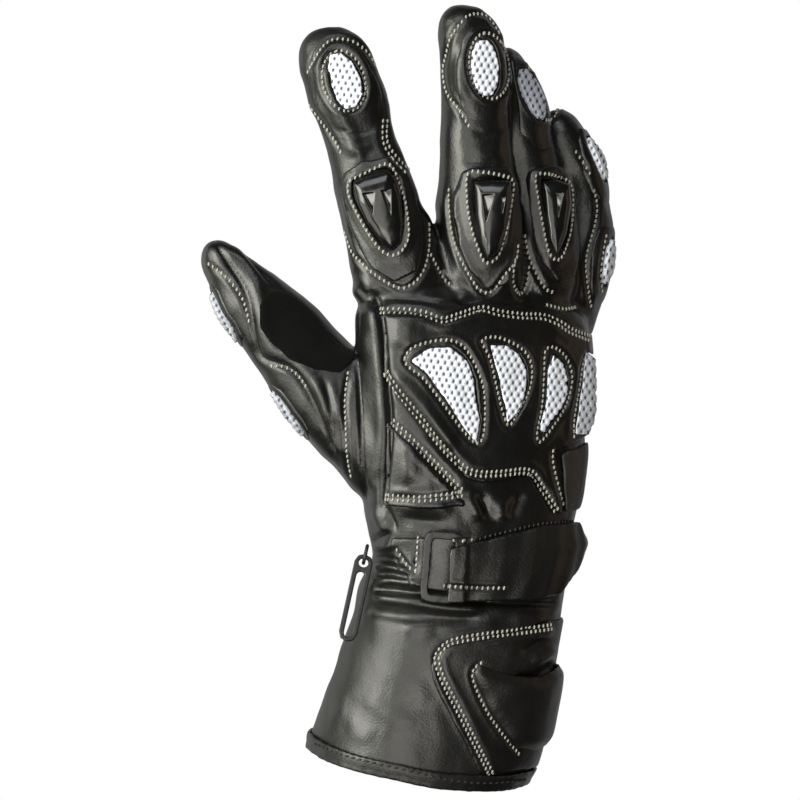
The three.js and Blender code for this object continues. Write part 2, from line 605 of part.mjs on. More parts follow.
const frontBlock = (points) => block(points, patternFrame, -HAND_WIDTH, HAND_WIDTH);
const strapBand = skin(strapLimb, 0, { sides: 26, rings: 4 })
  .intersect(frontBlock(onWrist(STRAP_OUTLINE)))
  .intersect(block(onWrist(STRAP_TIP), sideFrame, -HAND_WIDTH, HAND_WIDTH));
const foldBlock = frontBlock(onWrist(STRAP_FOLD)).intersect(dorsal);
const strapFold = laid(foldBlock, GAP, ringHigh + GAP + LAYER);
piece("wrist_strap", strapBand.add(strapFold).subtract(handSkin(GAP)).subtract(ringSolid(GAP)), leather);
const ANCHOR = [[-0.366, 0.116], [-0.228, 0.122], [-0.222, -0.117], [-0.266, -0.079], [-0.357, 0.023]];
piece("strap_anchor", laid(patternBlock(onWrist(ANCHOR)), GAP, GAP + LAYER).intersect(backSide), leather);

// Cuff with its folded hem, and the overlays on its outer side, in shares of the hand's width.
const cuffBore = cuffSkin(-WALL, -WALL, cuff.length + 2 * WALL, 5);
piece("gauntlet_cuff", cuffSkin(0).subtract(cuffBore), leather);
const hemBand = cuffSkin(HEM_THICK + GAP, cuff.length - HEM_WIDTH, cuff.length + HEM_THICK + GAP, 2);
const hemInside = cuffSkin(GAP, cuff.length - 2 * HEM_WIDTH, cuff.length + GAP, 3);
piece("hem_binding", hemBand.subtract(hemInside).subtract(cuffBore), leather);

const CHEVRON_PANEL = [
  [-0.155, -0.295], [-0.2, -0.335], [-0.215, -0.38], [-0.2, -0.44], [-0.165, -0.52], [-0.06, -0.72],
  [0.0, -0.845], [0.2, -0.845], [0.8, -0.7], [0.8, -0.2], [0.3, -0.215], [0.16, -0.245], [0, -0.275],
];
const CUFF_GUARD = [
  [-0.01, -0.385], [0.12, -0.42], [0.22, -0.435], [0.32, -0.41], [0.8, -0.4], [0.8, -0.78], [0.2, -0.72],
  [0.12, -0.67], [0.04, -0.57], [-0.02, -0.48], [-0.04, -0.42],
];
const cuffFrame = cuff.frameAt(0.5);
const cuffFront = block([[-FAR, -FAR], [FAR, -FAR], [FAR, FAR], [-FAR, FAR]], cuffFrame, -4, FAR);
const cuffTop = cuffSkin(FAR / 4, 1.5, cuff.length - HEM_WIDTH - GAP);
const cuffZone = cuffFront.intersect(cuffTop);
const cuffLaid = (points, low, high) =>
  frontBlock(points).intersect(cuffZone).intersect(cuffSkin(high)).subtract(cuffSkin(low));
piece("cuff_chevron_panel", cuffLaid(onWrist(CHEVRON_PANEL), GAP, GAP + LAYER), leather);
const guardOutline = onWrist(CUFF_GUARD);
const guardBase = cuffLaid(guardOutline, LAYER + 2 * GAP, 0.65 * CUFF_GUARD_HEIGHT);
const guardCrown = cuffLaid(grown(guardOutline, -3), LAYER + 2 * GAP, CUFF_GUARD_HEIGHT);
piece("cuff_guard", guardBase.add(guardCrown), leather);

// Pair clip, hanging on a cord from the thumb side of the wrist.
const eyeSize = CLIP_WIDTH - 2 * CLIP_BAR;
const slotLength = CLIP_LENGTH - 3 * CLIP_BAR - eyeSize;
const eyeAt = CLIP_LENGTH / 2 - CLIP_BAR - eyeSize / 2;
const slotAt = -CLIP_LENGTH / 2 + CLIP_BAR + slotLength / 2;
const cordEnd = new THREE.Vector3(-0.462, -0.125, 0.07).multiplyScalar(HAND_WIDTH);
const clipUp = new THREE.Vector3(0.2, 0.44, 0.88).normalize();
const clipOut = new THREE.Vector3(0, -1, 0).addScaledVector(clipUp, clipUp.y).normalize();
const clipFrame = {
  origin: cordEnd.clone().addScaledVector(clipUp, -CORD_DROP - eyeAt),
  across: new THREE.Vector3().crossVectors(clipUp, clipOut),
  along: clipUp,
  out: clipOut,
};
const clipPart = (width, height, low, thick) => {
  const shape = roundedBox(width, height, Math.min(width, height) / 2 - 0.05).map(([x, y]) => [x, y + low]);
  return block(shape, clipFrame, -thick / 2, thick / 2);
};
const clipBody = clipPart(CLIP_WIDTH, CLIP_LENGTH, 0, CLIP_BAR);
const clipEye = clipPart(eyeSize, eyeSize, eyeAt, 3 * CLIP_BAR);
const clipSlot = clipPart(eyeSize - 0.6, slotLength, slotAt, 3 * CLIP_BAR);
piece("pair_clip", clipBody.subtract(clipEye).subtract(clipSlot), hardPlastic);
const cordPoints = Array.from({ length: 8 }, (_, i) => {
  const turn = (Math.PI * i) / 4;
  const drop = (-CORD_DROP * (1 + Math.cos(turn))) / 2;
  return cordEnd.clone().addScaledVector(clipUp, drop).addScaledVector(clipOut, CORD_REACH * Math.sin(turn));
});
const cordCurve = new THREE.CatmullRomCurve3(cordPoints, true);
piece("clip_cord", solidOf(new THREE.TubeGeometry(cordCurve, 14, CORD / 2, 6, true)), leather);

group.rotation.z = -THREE.MathUtils.degToRad(PATTERN_TURN);
export default group;
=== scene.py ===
# %% [markdown]
# # A leather motorcycle glove
#
# The glove is a right-hand racing gauntlet: grained cowhide, hard knuckle guards, pale mesh
# windows, a strap with a ring at the wrist and a long flared cuff. The solids that carry it come
# from the frame. This lesson gives them the look of sewn leather: it rounds them, presses seams
# and folds into them, and lays the stitches on top.

# %% Load the frame
import math
import bpy
import bmesh
import numpy as np
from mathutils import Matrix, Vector
from mathutils.bvhtree import BVHTree
from mathutils.kdtree import KDTree


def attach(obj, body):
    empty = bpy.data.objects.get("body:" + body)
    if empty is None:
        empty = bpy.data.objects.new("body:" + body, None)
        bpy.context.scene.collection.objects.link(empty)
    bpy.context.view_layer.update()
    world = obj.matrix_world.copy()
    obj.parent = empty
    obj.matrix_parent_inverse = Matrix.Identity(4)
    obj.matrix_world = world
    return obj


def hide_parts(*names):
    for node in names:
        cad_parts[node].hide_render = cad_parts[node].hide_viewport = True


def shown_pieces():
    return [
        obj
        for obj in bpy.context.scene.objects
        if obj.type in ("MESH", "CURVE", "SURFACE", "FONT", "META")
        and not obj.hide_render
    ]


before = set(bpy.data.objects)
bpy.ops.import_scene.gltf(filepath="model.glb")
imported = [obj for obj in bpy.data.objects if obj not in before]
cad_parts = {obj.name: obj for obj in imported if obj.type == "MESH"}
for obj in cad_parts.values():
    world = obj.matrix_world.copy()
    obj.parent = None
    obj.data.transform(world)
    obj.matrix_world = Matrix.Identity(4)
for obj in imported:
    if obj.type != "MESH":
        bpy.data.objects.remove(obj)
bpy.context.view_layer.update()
MM = 0.001

# %% [markdown]
# ## The camera
#
# The camera looks as the photograph does: from 25 degrees to the left of the frame's own Y axis
# and a little above the glove. One millimetre on the glove is 2.8 pixels of the 800 pixel
# picture. Knowing that, a point of the picture can be traced back onto the leather, which is how
# the seams further down find their place. A long lens keeps the fingers free of distortion.

# %% Place the camera
PICTURE = 800
PIXELS_PER_MM = 2.8
LOOK_TURN = math.radians(-25)
LOOK_DOWN = math.radians(4)
LOOK_FROM = 1.2
WRIST_PIXEL = (484, 560)  # where the frame's origin lies on the picture
SENSOR = 36.0
NEAREST_SEEN = 0.01

# The camera's own axes: back from the glove to the lens, right and up on the picture.
BACK = np.array([
    math.sin(LOOK_TURN) * math.cos(LOOK_DOWN),
    -math.cos(LOOK_TURN) * math.cos(LOOK_DOWN),
    math.sin(LOOK_DOWN),
])
RIGHT = np.array([math.cos(LOOK_TURN), math.sin(LOOK_TURN), 0.0])
UP = np.cross(BACK, RIGHT)
FOCAL_PIXELS = PIXELS_PER_MM * LOOK_FROM / MM
HALF = PICTURE / 2
TARGET = (RIGHT * (HALF - WRIST_PIXEL[0]) + UP * (WRIST_PIXEL[1] - HALF)) / PIXELS_PER_MM * MM
EYE = TARGET + BACK * LOOK_FROM

camera_data = bpy.data.cameras.new("camera")
camera_data.sensor_width = SENSOR
camera_data.lens = FOCAL_PIXELS / PICTURE * SENSOR
camera_data.clip_start = NEAREST_SEEN
camera = bpy.data.objects.new("camera", camera_data)
camera.location = EYE
camera.rotation_euler = Vector(BACK).to_track_quat("Z", "Y").to_euler()
bpy.context.scene.collection.objects.link(camera)
bpy.context.scene.camera = camera
print("lens:", round(camera_data.lens, 1), "mm")

# %% From points to pixels and back
def to_pixels(points):
    """The picture's pixel, right and down, for each point in metres."""
    rel = np.asarray(points) - EYE
    depth = -(rel @ BACK)
    right = HALF + FOCAL_PIXELS * (rel @ RIGHT) / depth
    down = HALF - FOCAL_PIXELS * (rel @ UP) / depth
    return np.stack([right, down], 1)


def sight(pixel):
    """The direction from the eye through a pixel."""
    across = (pixel[0] - HALF) / FOCAL_PIXELS
    above = (HALF - pixel[1]) / FOCAL_PIXELS
    return Vector(-BACK + RIGHT * across + UP * above).normalized()


# %% [markdown]
# ## Small tools
#
# Each node's triangles are loose in the frame, so a copy is merged before it is worked on. A
# modifier is baked by turning the evaluated object into a plain mesh, which keeps the pieces
# simple. Reading and writing all the vertices at once as an array is what makes the sculpting in
# code fast enough.

# %% Mesh tools
MERGE_WITHIN = 0.001 * MM


def show(name, mesh):
    """Links a mesh into the scene as a new object."""
    obj = bpy.data.objects.new(name, mesh)
    bpy.context.scene.collection.objects.link(obj)
    return obj


def copy_of(name, nodes):
    """One object with the merged triangles of some frame nodes."""
    build = bmesh.new()
    for node_name in nodes:
        build.from_mesh(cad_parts[node_name].data)
    bmesh.ops.remove_doubles(build, verts=build.verts, dist=MERGE_WITHIN)
    mesh = bpy.data.meshes.new(name)
    build.to_mesh(mesh)
    build.free()
    return show(name, mesh)


def bake(obj, kind, **settings):
    """Adds one modifier, applies it and leaves a plain mesh."""
    modifier = obj.modifiers.new(kind.title(), kind)
    for name, value in settings.items():
        setattr(modifier, name, value)
    graph = bpy.context.evaluated_depsgraph_get()
    mesh = bpy.data.meshes.new_from_object(obj.evaluated_get(graph))
    obj.modifiers.clear()
    old, obj.data = obj.data, mesh
    bpy.data.meshes.remove(old)


def points_of(obj, field="co"):
    """The places or the normals of all vertices, one row each."""
    flat = np.empty(len(obj.data.vertices) * 3, np.float32)
    obj.data.vertices.foreach_get(field, flat)
    return flat.reshape(-1, 3).astype(float)


def set_points(obj, points):
    """Moves all vertices of a piece to new places."""
    obj.data.vertices.foreach_set("co", np.asarray(points, np.float32).ravel())
    obj.data.update()


def ease(value, low, high):
    """0 below low, 1 above high, smooth between."""
    share = np.clip((value - low) / (high - low), 0, 1)
    return share * share * (3 - 2 * share)


def search_tree(points):
    """A tree that finds the nearest of some points."""
    tree = KDTree(len(points))
    for number, point in enumerate(points):
        tree.insert(point, number)
    tree.balance()
    return tree


def nearest_in(tree, points):
    """For each point, the number of the nearest one in the tree."""
    return [tree.find(point)[1] for point in points]


# %% [markdown]
# ## Pulls towards the picture
#
# The solids were measured on the picture, but a real finger or cuff swells a few millimetres more
# or less than a plain shape does. Each row below is a point on the outline with the sideways pull,
# in pixels, that it needs. A vertex follows the pulls near it, weighted by distance, so a whole
# neighbourhood moves together and no seam opens. Rows without a pull hold their place.

# %% Pull the outline to the picture
# Each row is a place on the picture's outline, and how many pixels right and down it is pulled.
NUDGES = np.array([
    # middle finger's tip and left side, down to the gap beside it
    (451, 8, -2, -4), (463, 6, 0, -2), (440, 19, -1, -1), (435, 31, 3, 1),
    (434, 50, 6, 0), (434, 70, 6, 0), (436, 95, 6, -1), (437, 115, 3, 0),
    (439, 139, 0, 0), (438, 187, -1, 0), (438, 200, -3, 0), (437, 211, -6, -2), (432, 223, 0, -18),
    # index finger, from the gap round its tip to the thumb
    (424, 213, 1, -3), (414, 189, 3, -1), (408, 177, 4, -1), (399, 155, 3, -1),
    (392, 130, 1, 0), (385, 103, 4, -1), (381, 87, 4, -1), (376, 69, 2, 0),
    (370, 52, 1, 0), (344, 29, 0, 0), (332, 29, 0, -3), (320, 32, -2, -5),
    (308, 40, -5, -4), (302, 52, -4, -1), (300, 66, -1, 0), (308, 100, -1, 0),
    (316, 130, 4, -1), (322, 148, 4, -1), (327, 168, 3, -1), (334, 200, 1, 0),
    (340, 228, 2, 0), (344, 248, 3, -1), (350, 272, 0, 0), (362, 303, -7, 0), (359, 318, -5, -1),
    # thumb
    (346, 332, -4, 4), (335, 321, -3, 3), (318, 306, -1, 1), (287, 282, -1, 1),
    (258, 259, -2, 2), (240, 247, -4, 4), (222, 243, -2, -3), (211, 248, -9, -11),
    (206, 260, -4, -1), (212, 286, -2, 1), (221, 303, -4, 3), (236, 337, -2, 1),
    (260, 370, -2, 1), (277, 389, -4, 4), (292, 409, -5, 5), (305, 432, -4, 3),
    (320, 448, -3, 3), (338, 472, 0, 0), (360, 492, -3, 3), (368, 510, -5, 1), (371, 530, -3, 0),
    # cuff
    (344, 640, -4, 0), (336, 668, -2, 0), (328, 692, -4, 0), (321, 716, -5, 0), (312, 734, -4, 0),
    (322, 756, 0, 3), (348, 766, 0, 3), (372, 773, 0, 3), (396, 778, 0, 3),
    (420, 781, 0, 5), (444, 784, 0, 6), (468, 787, 0, 5), (492, 788, 0, 4),
    (512, 787, 0, 2), (530, 784, -1, -2), (538, 756, 3, 1), (545, 737, 3, 2),
    (555, 713, 3, 0), (559, 692, 4, 1), (561, 679, 3, 0), (558, 661, 0, 0), (562, 612, 0, 0),
    # little finger's side of the hand
    (581, 559, 1, 0), (585, 545, 2, 0), (582, 524, -2, 1), (576, 510, 4, 1),
    (580, 492, 6, 0), (583, 470, 6, 0), (584, 450, 5, 0), (588, 430, 2, 1),
    (592, 408, 6, 0), (593, 385, 5, 0), (593, 362, 2, 0), (592, 340, 0, 0),
    (599, 322, -3, -2), (608, 306, -7, -3), (611, 286, -2, 0), (614, 262, 2, 0),
    (612, 246, 6, -1), (608, 226, 8, -2), (604, 208, 8, -1), (601, 188, 8, -1),
    (600, 170, 9, -1), (597, 154, 7, -2), (592, 140, 2, -1), (586, 128, -1, 1), (568, 109, -1, 2),
    # ring finger and the right of the middle finger
    (556, 108, 0, 3), (546, 102, 4, -2), (540, 84, 1, -1), (532, 66, -1, 1),
    (509, 47, 1, -2), (499, 27, 0, 0), (492, 15, -2, 2), (480, 6, -1, 2),
    # mesh windows over the back of the hand
    (412, 350, -2, -3), (430, 347, 0, -4), (450, 345, 0, -3), (425, 382, 3, -4),
    (445, 408, 4, -5), (463, 430, 2, -5), (480, 440, -3, -4), (482, 400, -3, -1),
    (495, 375, 2, 0), (532, 380, -3, 0), (507, 425, -1, -3),
    (573, 385, -3, 0), (545, 438, -1, -3), (582, 390, 3, 0), (325, 84, 3, 0),
], float)
# The moulded guard on the cuff bulges more than its solid, so it is pulled once more by itself.
CUFF_GUARD_NUDGES = np.array([
    (480, 672, -4, -6), (486, 692, -8, -3), (500, 718, -9, 4), (519, 738, -7, 13), (542, 742, -2, 8),
], float)
NUDGE_REACH = 15.0
WEIGHT_OF_STAYING = 0.15


def nudge(points, nudges=NUDGES):
    """Moves points sideways on the picture, by the pulls near them."""
    pixels = to_pixels(points)
    weight_sum = np.full(len(points), WEIGHT_OF_STAYING)
    pull = np.zeros((len(points), 2))
    for right, down, pull_right, pull_down in nudges:
        gap = np.hypot(pixels[:, 0] - right, pixels[:, 1] - down)
        weight = np.exp(-(gap / NUDGE_REACH) ** 2)
        weight_sum += weight
        pull += weight[:, None] * (pull_right, pull_down)
    pull *= MM / PIXELS_PER_MM / weight_sum[:, None]
    return points + pull[:, :1] * RIGHT - pull[:, 1:] * UP


# %% [markdown]
# ## The rounding field
#
# The frame's skins have flat facets, and leather has none. The shells of the hand are fused and
# remeshed, then relaxed until the facets melt away. Relaxing alone shrinks a finger, so it is
# done once and twice, and the difference is added back. What is kept is only how far each point
# of the skin moved. Every other piece, such as a pad that lies on a finger, moves with the skin
# under it, so nothing loses its seat.

# %% Measure how the skin moves when it is rounded
SHELLS = [
    "back_of_hand", "palm", "index_stall", "middle_stall", "ring_stall", "little_stall", "thumb_stall",
    "gauntlet_cuff",
]
SKIN_VOXEL = 0.8 * MM
ROUNDING = 50

fused = copy_of("leather_skin", SHELLS)
bake(fused, "REMESH", mode="VOXEL", voxel_size=SKIN_VOXEL, use_smooth_shade=True)
rough = points_of(fused)
bake(fused, "SMOOTH", factor=1.0, iterations=ROUNDING)
once = points_of(fused)
bake(fused, "SMOOTH", factor=1.0, iterations=ROUNDING)
rounding = 2 * once - points_of(fused) - rough
set_points(fused, rough + rounding)
outwards = points_of(fused, "normal")
skin_tree = search_tree(rough)
print("skin points:", len(rough), "largest move:", round(float(np.abs(rounding).max() / MM), 2), "mm")


def round_off(obj, sink=0.0):
    """Moves a piece as the skin nearest to it moved, and presses it down by a depth in millimetres."""
    points = points_of(obj)
    nearest = nearest_in(skin_tree, points)
    set_points(obj, nudge(points + rounding[nearest] - outwards[nearest] * sink * MM))
    return nearest


# %% [markdown]
# ## Lines drawn on the picture
#
# Seams, folds and creases are drawn as short lists of picture pixels. A curve is passed through
# them, and each vertex that faces the camera is pushed in or out by its distance to the curve. A
# stitched seam is a narrow trough with swollen lips, a fold is a soft ridge, and a crease is a
# narrow cut.

# %% Curves through picture points
def curve_through(corners, closed=False, steps=5):
    """A smooth line (a Catmull-Rom spline) through the corners, as an array of pixels."""
    corners = np.array(corners, float)
    ends = (corners[-1:], corners[:2]) if closed else (corners[:1], corners[-1:])
    padded = np.concatenate([ends[0], corners, ends[1]])
    line = []
    for a, b, c, d in zip(padded, padded[1:], padded[2:], padded[3:]):
        for step in range(steps):
            t = step / steps
            bend = (c - a) * t + (2 * a - 5 * b + 4 * c - d) * t * t + (3 * b - a - 3 * c + d) * t ** 3
            line.append(b + bend / 2)
    line.append(padded[-2])
    return np.array(line)


def ring_of(centre, half_long, half_wide, lean, count=12):
    """Points of an ellipse whose long axis leans from upright by so many degrees."""
    lean = math.radians(lean)
    long_axis = np.array([-math.sin(lean), -math.cos(lean)])
    wide_axis = np.array([math.cos(lean), -math.sin(lean)])
    turns = [2 * math.pi * i / count for i in range(count)]
    return [
        tuple(centre + long_axis * half_long * math.cos(t) + wide_axis * half_wide * math.sin(t))
        for t in turns
    ]


def beside(line, offset):
    """The same line moved sideways by an offset in pixels."""
    along = np.gradient(line, axis=0)
    along /= np.linalg.norm(along, axis=1, keepdims=True) + 1e-9
    return line + np.stack([-along[:, 1], along[:, 0]], 1) * offset


def distance_to(line, pixels):
    """For each pixel its distance to the line and how far along it lies, and the line's length."""
    best = np.full(len(pixels), np.inf)
    along_line = np.zeros(len(pixels))
    walked = 0.0
    for start, end in zip(line, line[1:]):
        span = end - start
        length = math.hypot(*span)
        if length < 1e-6:
            continue
        rel = pixels - start
        share = np.clip(rel @ span / length ** 2, 0, 1)
        gap = np.linalg.norm(rel - share[:, None] * span, axis=1)
        nearer = gap < best
        best[nearer] = gap[nearer]
        along_line[nearer] = walked + share[nearer] * length
        walked += length
    return best, along_line, walked


# %% [markdown]
# ## Where the stitches run
#
# The glove is sewn with pale thread in single and double rows. The table holds each row once: how
# many lines of thread, whether it closes on itself, and its path. The same table later presses
# the troughs into the leather and lays the thread in them.

# %% Stitch rows on the picture
SINGLE, DOUBLE = 1, 2
OPEN, CLOSED = False, True
STITCH_ROWS = {
    "panel_top": (DOUBLE, OPEN, [
        (381, 311), (405, 311), (425, 314), (437, 319), (446, 320), (461, 315), (482, 309),
        (498, 313), (521, 316), (543, 317), (559, 323), (571, 331), (589, 338)]),
    "panel_bottom": (DOUBLE, OPEN, [
        (386, 373), (398, 391), (421, 419), (436, 439), (452, 457), (467, 470), (482, 474),
        (505, 473), (522, 471), (533, 474), (543, 490), (556, 510)]),
    "triangle_top": (DOUBLE, OPEN, [(393, 422), (427, 456), (461, 491)]),
    "triangle_bottom": (DOUBLE, OPEN, [(386, 497), (421, 499), (462, 494)]),
    "window_1": (SINGLE, CLOSED, [
        (405, 358), (412, 348), (429, 342), (448, 340), (462, 345), (471, 357), (479, 373),
        (484, 391), (485, 413), (483, 437), (475, 443), (461, 428), (444, 405), (424, 379),
        (408, 366)]),
    "window_2": (SINGLE, CLOSED, [
        (482, 341), (494, 337), (508, 341), (522, 349), (530, 360), (532, 376), (528, 394),
        (520, 409), (510, 425), (504, 417), (497, 389), (490, 359)]),
    "window_3": (SINGLE, CLOSED, [
        (545, 352), (551, 347), (560, 351), (569, 363), (572, 382), (566, 405), (554, 425),
        (540, 442), (537, 432), (542, 405), (544, 374)]),
    "window_4": (SINGLE, OPEN, [
        (593, 357), (587, 355), (583, 363), (579, 389), (574, 420), (574, 438)]),
    "patch_edge": (SINGLE, OPEN, [(553, 451), (553, 463), (559, 489), (563, 504)]),
    "index_pad_end": (SINGLE, OPEN, [
        (345, 233), (352, 252), (361, 262), (368, 269), (380, 278), (394, 286), (404, 288),
        (416, 281), (425, 267), (429, 247), (429, 224)]),
    "index_guard_ring": (SINGLE, CLOSED, [
        (350, 181), (348, 190), (352, 203), (363, 224), (375, 243), (385, 253), (395, 255),
        (404, 248), (409, 233), (406, 205), (400, 184), (392, 167), (385, 164), (373, 169),
        (359, 176)]),
    "middle_pad_end": (SINGLE, OPEN, [
        (449, 190), (449, 207), (452, 233), (459, 255), (471, 278), (481, 291), (492, 291),
        (504, 276), (516, 260), (518, 246)]),
    "middle_guard_ring": (SINGLE, CLOSED, [
        (468, 174), (481, 172), (500, 175), (513, 181), (512, 202), (507, 228), (499, 255),
        (487, 263), (480, 253), (471, 226), (467, 198)]),
    "ring_pad_end": (SINGLE, OPEN, [(525, 236), (528, 253), (535, 271), (545, 288), (552, 292)]),
    "ring_guard_ring": (SINGLE, CLOSED, [
        (536, 176), (547, 174), (562, 178), (571, 185), (573, 207), (571, 231), (564, 253),
        (557, 260), (549, 252), (543, 226), (538, 197)]),
    "crotch_index_middle": (SINGLE, OPEN, [(431, 255), (437, 267), (444, 279), (450, 284)]),
    "crotch_middle_ring": (SINGLE, OPEN, [
        (515, 260), (513, 281), (519, 294), (526, 286), (529, 267)]),
    "ring_side": (SINGLE, OPEN, [(547, 305), (564, 309), (576, 307)]),
    "little_line": (SINGLE, OPEN, [(576, 152), (585, 165), (590, 174)]),
    "little_side": (SINGLE, OPEN, [
        (594, 191), (597, 205), (595, 224), (586, 259), (588, 288), (591, 307)]),
    "little_knuckle_ring": (SINGLE, OPEN, [(606, 236), (604, 247), (601, 271), (602, 292)]),
    "index_tip_ring": (SINGLE, CLOSED, ring_of((344, 81), 31, 21, 14)),
    "index_tip_arch": (SINGLE, OPEN, [
        (308, 72), (319, 52), (328, 42), (339, 39), (354, 42), (367, 52), (375, 65)]),
    "index_left_line": (SINGLE, OPEN, [(310, 106), (323, 124), (334, 139), (341, 152)]),
    "index_right_line": (DOUBLE, OPEN, [(385, 121), (385, 141), (393, 156), (407, 171)]),
    "middle_tip_ring": (SINGLE, CLOSED, ring_of((489, 66), 33, 20, 8)),
    "middle_tip_arch": (SINGLE, OPEN, [(466, 17), (475, 14), (488, 17), (499, 33)]),
    "middle_left_line": (SINGLE, OPEN, [
        (462, 22), (451, 37), (446, 56), (443, 72), (447, 93), (458, 108), (469, 126)]),
    "ring_tip_ring": (SINGLE, CLOSED, ring_of((540, 94), 28, 15, 24)),
    "thumb_tip_line": (SINGLE, OPEN, [
        (209, 264), (219, 271), (230, 281), (240, 294), (246, 308), (249, 322)]),
    "thumb_knuckle_line": (SINGLE, OPEN, [(272, 366), (285, 367), (297, 374), (306, 386)]),
    "thumb_seam": (SINGLE, OPEN, [(348, 373), (345, 400), (346, 428), (347, 453), (351, 476)]),
    "strap_top": (SINGLE, OPEN, [(451, 540), (461, 541), (473, 540)]),
    "strap_bottom": (SINGLE, OPEN, [(444, 586), (480, 588), (505, 588)]),
    "anchor_side": (SINGLE, OPEN, [(418, 538), (416, 571)]),
    "anchor_slant": (SINGLE, OPEN, [(397, 550), (404, 561), (410, 568), (416, 571)]),
    "chevron": (DOUBLE, OPEN, [
        (551, 627), (530, 630), (508, 633), (475, 637), (452, 642), (441, 650), (437, 660),
        (443, 680), (460, 713), (477, 747), (491, 774)]),
    "cuff_guard_edge": (SINGLE, OPEN, [
        (481, 663), (474, 669), (473, 680), (485, 708), (500, 731), (519, 754)]),
}
# The hem is sewn in black thread. Along the strap's top edge, right of its pale left end, the row
# is sewn in black thread too, as painted shade on the pale stitches.
STRAP_ROW_IN_PAINTED_SHADE = [(475, 540), (506, 532), (541, 524), (573, 522)]
HEM_ROW = [(315, 744), (346, 756), (396, 768), (445, 779), (485, 783), (525, 780)]
STITCH_LINES = {name: curve_through(path, closed) for name, (_, closed, path) in STITCH_ROWS.items()}
print("stitched rows:", len(STITCH_LINES))

# %% [markdown]
# ## Folds and creases
#
# Worn leather creases where it bends and swells between seams. Each row of this table is one
# line: how far it stands out or cuts in, and how wide it is, both in millimetres. Lines fade out
# at their ends, so that a fold runs into the plain leather.

# %% Folds and creases on the picture
FOLDS = [
    # height, half width, path
    # swellings of the back panel
    (1.5, 4.6, [(403, 314), (405, 335), (399, 352)]),
    (1.3, 3.0, [(394, 372), (420, 401), (440, 428), (456, 449)]),
    (1.4, 4.0, [(407, 438), (411, 486)]),
    (0.9, 2.6, [(556, 449), (566, 447), (578, 450)]),
    # the deep seam on the thumb's side of the hand, and the leather that stands up beside it
    (-2.4, 1.1, [(375, 292), (381, 320), (384, 351), (387, 382), (390, 420), (388, 451),
                 (385, 480), (382, 512)]),
    (0.9, 2.4, [(368, 292), (373, 320), (376, 351), (379, 385), (381, 420), (379, 451), (376, 480)]),
    (-0.9, 0.8, [(357, 300), (357, 345), (359, 380), (361, 420), (363, 470), (367, 505)]),
    (0.6, 2.2, [(364, 330), (367, 380), (370, 430), (372, 490)]),
    # the thumb's seam and its swollen leather
    (-1.2, 1.0, [(214, 240), (228, 262), (241, 283), (250, 306), (254, 335), (262, 358), (287, 367),
                 (303, 384), (316, 409), (326, 434), (334, 456)]),
    (1.2, 2.4, [(227, 243), (243, 262), (255, 285), (262, 308), (265, 333), (275, 350), (292, 357),
                (310, 375), (322, 398), (332, 424)]),
    (-0.9, 0.9, [(240, 252), (262, 274), (274, 286)]),
    (0.7, 1.5, [(235, 252), (258, 276), (266, 290)]),
    # creases fanning out below the suede patch
    (0.6, 1.4, [(330, 378), (336, 400), (340, 430)]),
    (-0.6, 1.0, [(323, 378), (330, 402), (336, 440)]),
    (0.5, 1.4, [(313, 376), (324, 400), (332, 432)]),
    (0.7, 1.6, [(356, 370), (356, 400), (358, 434)]),
    # gathers beside the strap
    (-1.4, 1.1, [(386, 505), (390, 518), (397, 531)]),
    (1.0, 1.8, [(372, 508), (380, 522), (388, 536)]),
    (-1.3, 1.1, [(366, 545), (380, 538), (392, 532)]),
    (1.1, 1.4, [(372, 553), (386, 547), (398, 543)]),
    (-1.4, 1.1, [(371, 560), (386, 559), (404, 564)]),
    (1.3, 1.3, [(372, 568), (390, 567), (411, 573)]),
    (-1.4, 1.1, [(371, 575), (390, 574), (411, 580)]),
    (1.3, 1.4, [(372, 582), (392, 580), (410, 582), (427, 586)]),
    # folds between the back panel and the strap
    (-1.6, 2.0, [(478, 492), (486, 506), (492, 521)]),
    (1.8, 3.0, [(464, 492), (473, 506), (480, 522)]),
    (1.2, 3.0, [(500, 498), (502, 512), (500, 522)]),
    (-1.3, 2.2, [(524, 492), (516, 506), (510, 520)]),
    (1.0, 3.0, [(405, 508), (432, 506), (452, 514)]),
    (-1.0, 2.2, [(398, 518), (425, 522), (445, 524)]),
]
CUFF_FOLDS = [
    # the seam under the strap and the rolls below it
    (-1.6, 1.1, [(371, 589), (400, 591), (440, 596), (500, 603), (560, 604)]),
    (1.5, 1.8, [(372, 597), (410, 602), (448, 608), (485, 610)]),
    (-1.2, 2.0, [(364, 611), (400, 616), (440, 619), (480, 618)]),
    (0.8, 2.6, [(400, 630), (425, 626), (460, 628), (500, 624)]),
    (-1.0, 2.4, [(430, 640), (436, 632), (470, 626), (520, 622)]),
    # folds over the cuff's guard
    (-2.0, 2.0, [(559, 660), (548, 670), (533, 679), (515, 676)]),
    (1.6, 2.4, [(556, 645), (544, 656), (530, 664)]),
    (-1.4, 2.2, [(548, 636), (534, 648), (520, 654)]),
    (1.0, 2.2, [(556, 628), (544, 632), (530, 640)]),
    # slow swellings of the cuff's wide side
    (0.5, 3.6, [(336, 700), (350, 722), (368, 746)]),
    (0.5, 3.4, [(362, 696), (388, 714), (416, 726)]),
    (0.4, 4.0, [(380, 668), (410, 684), (430, 706)]),
]
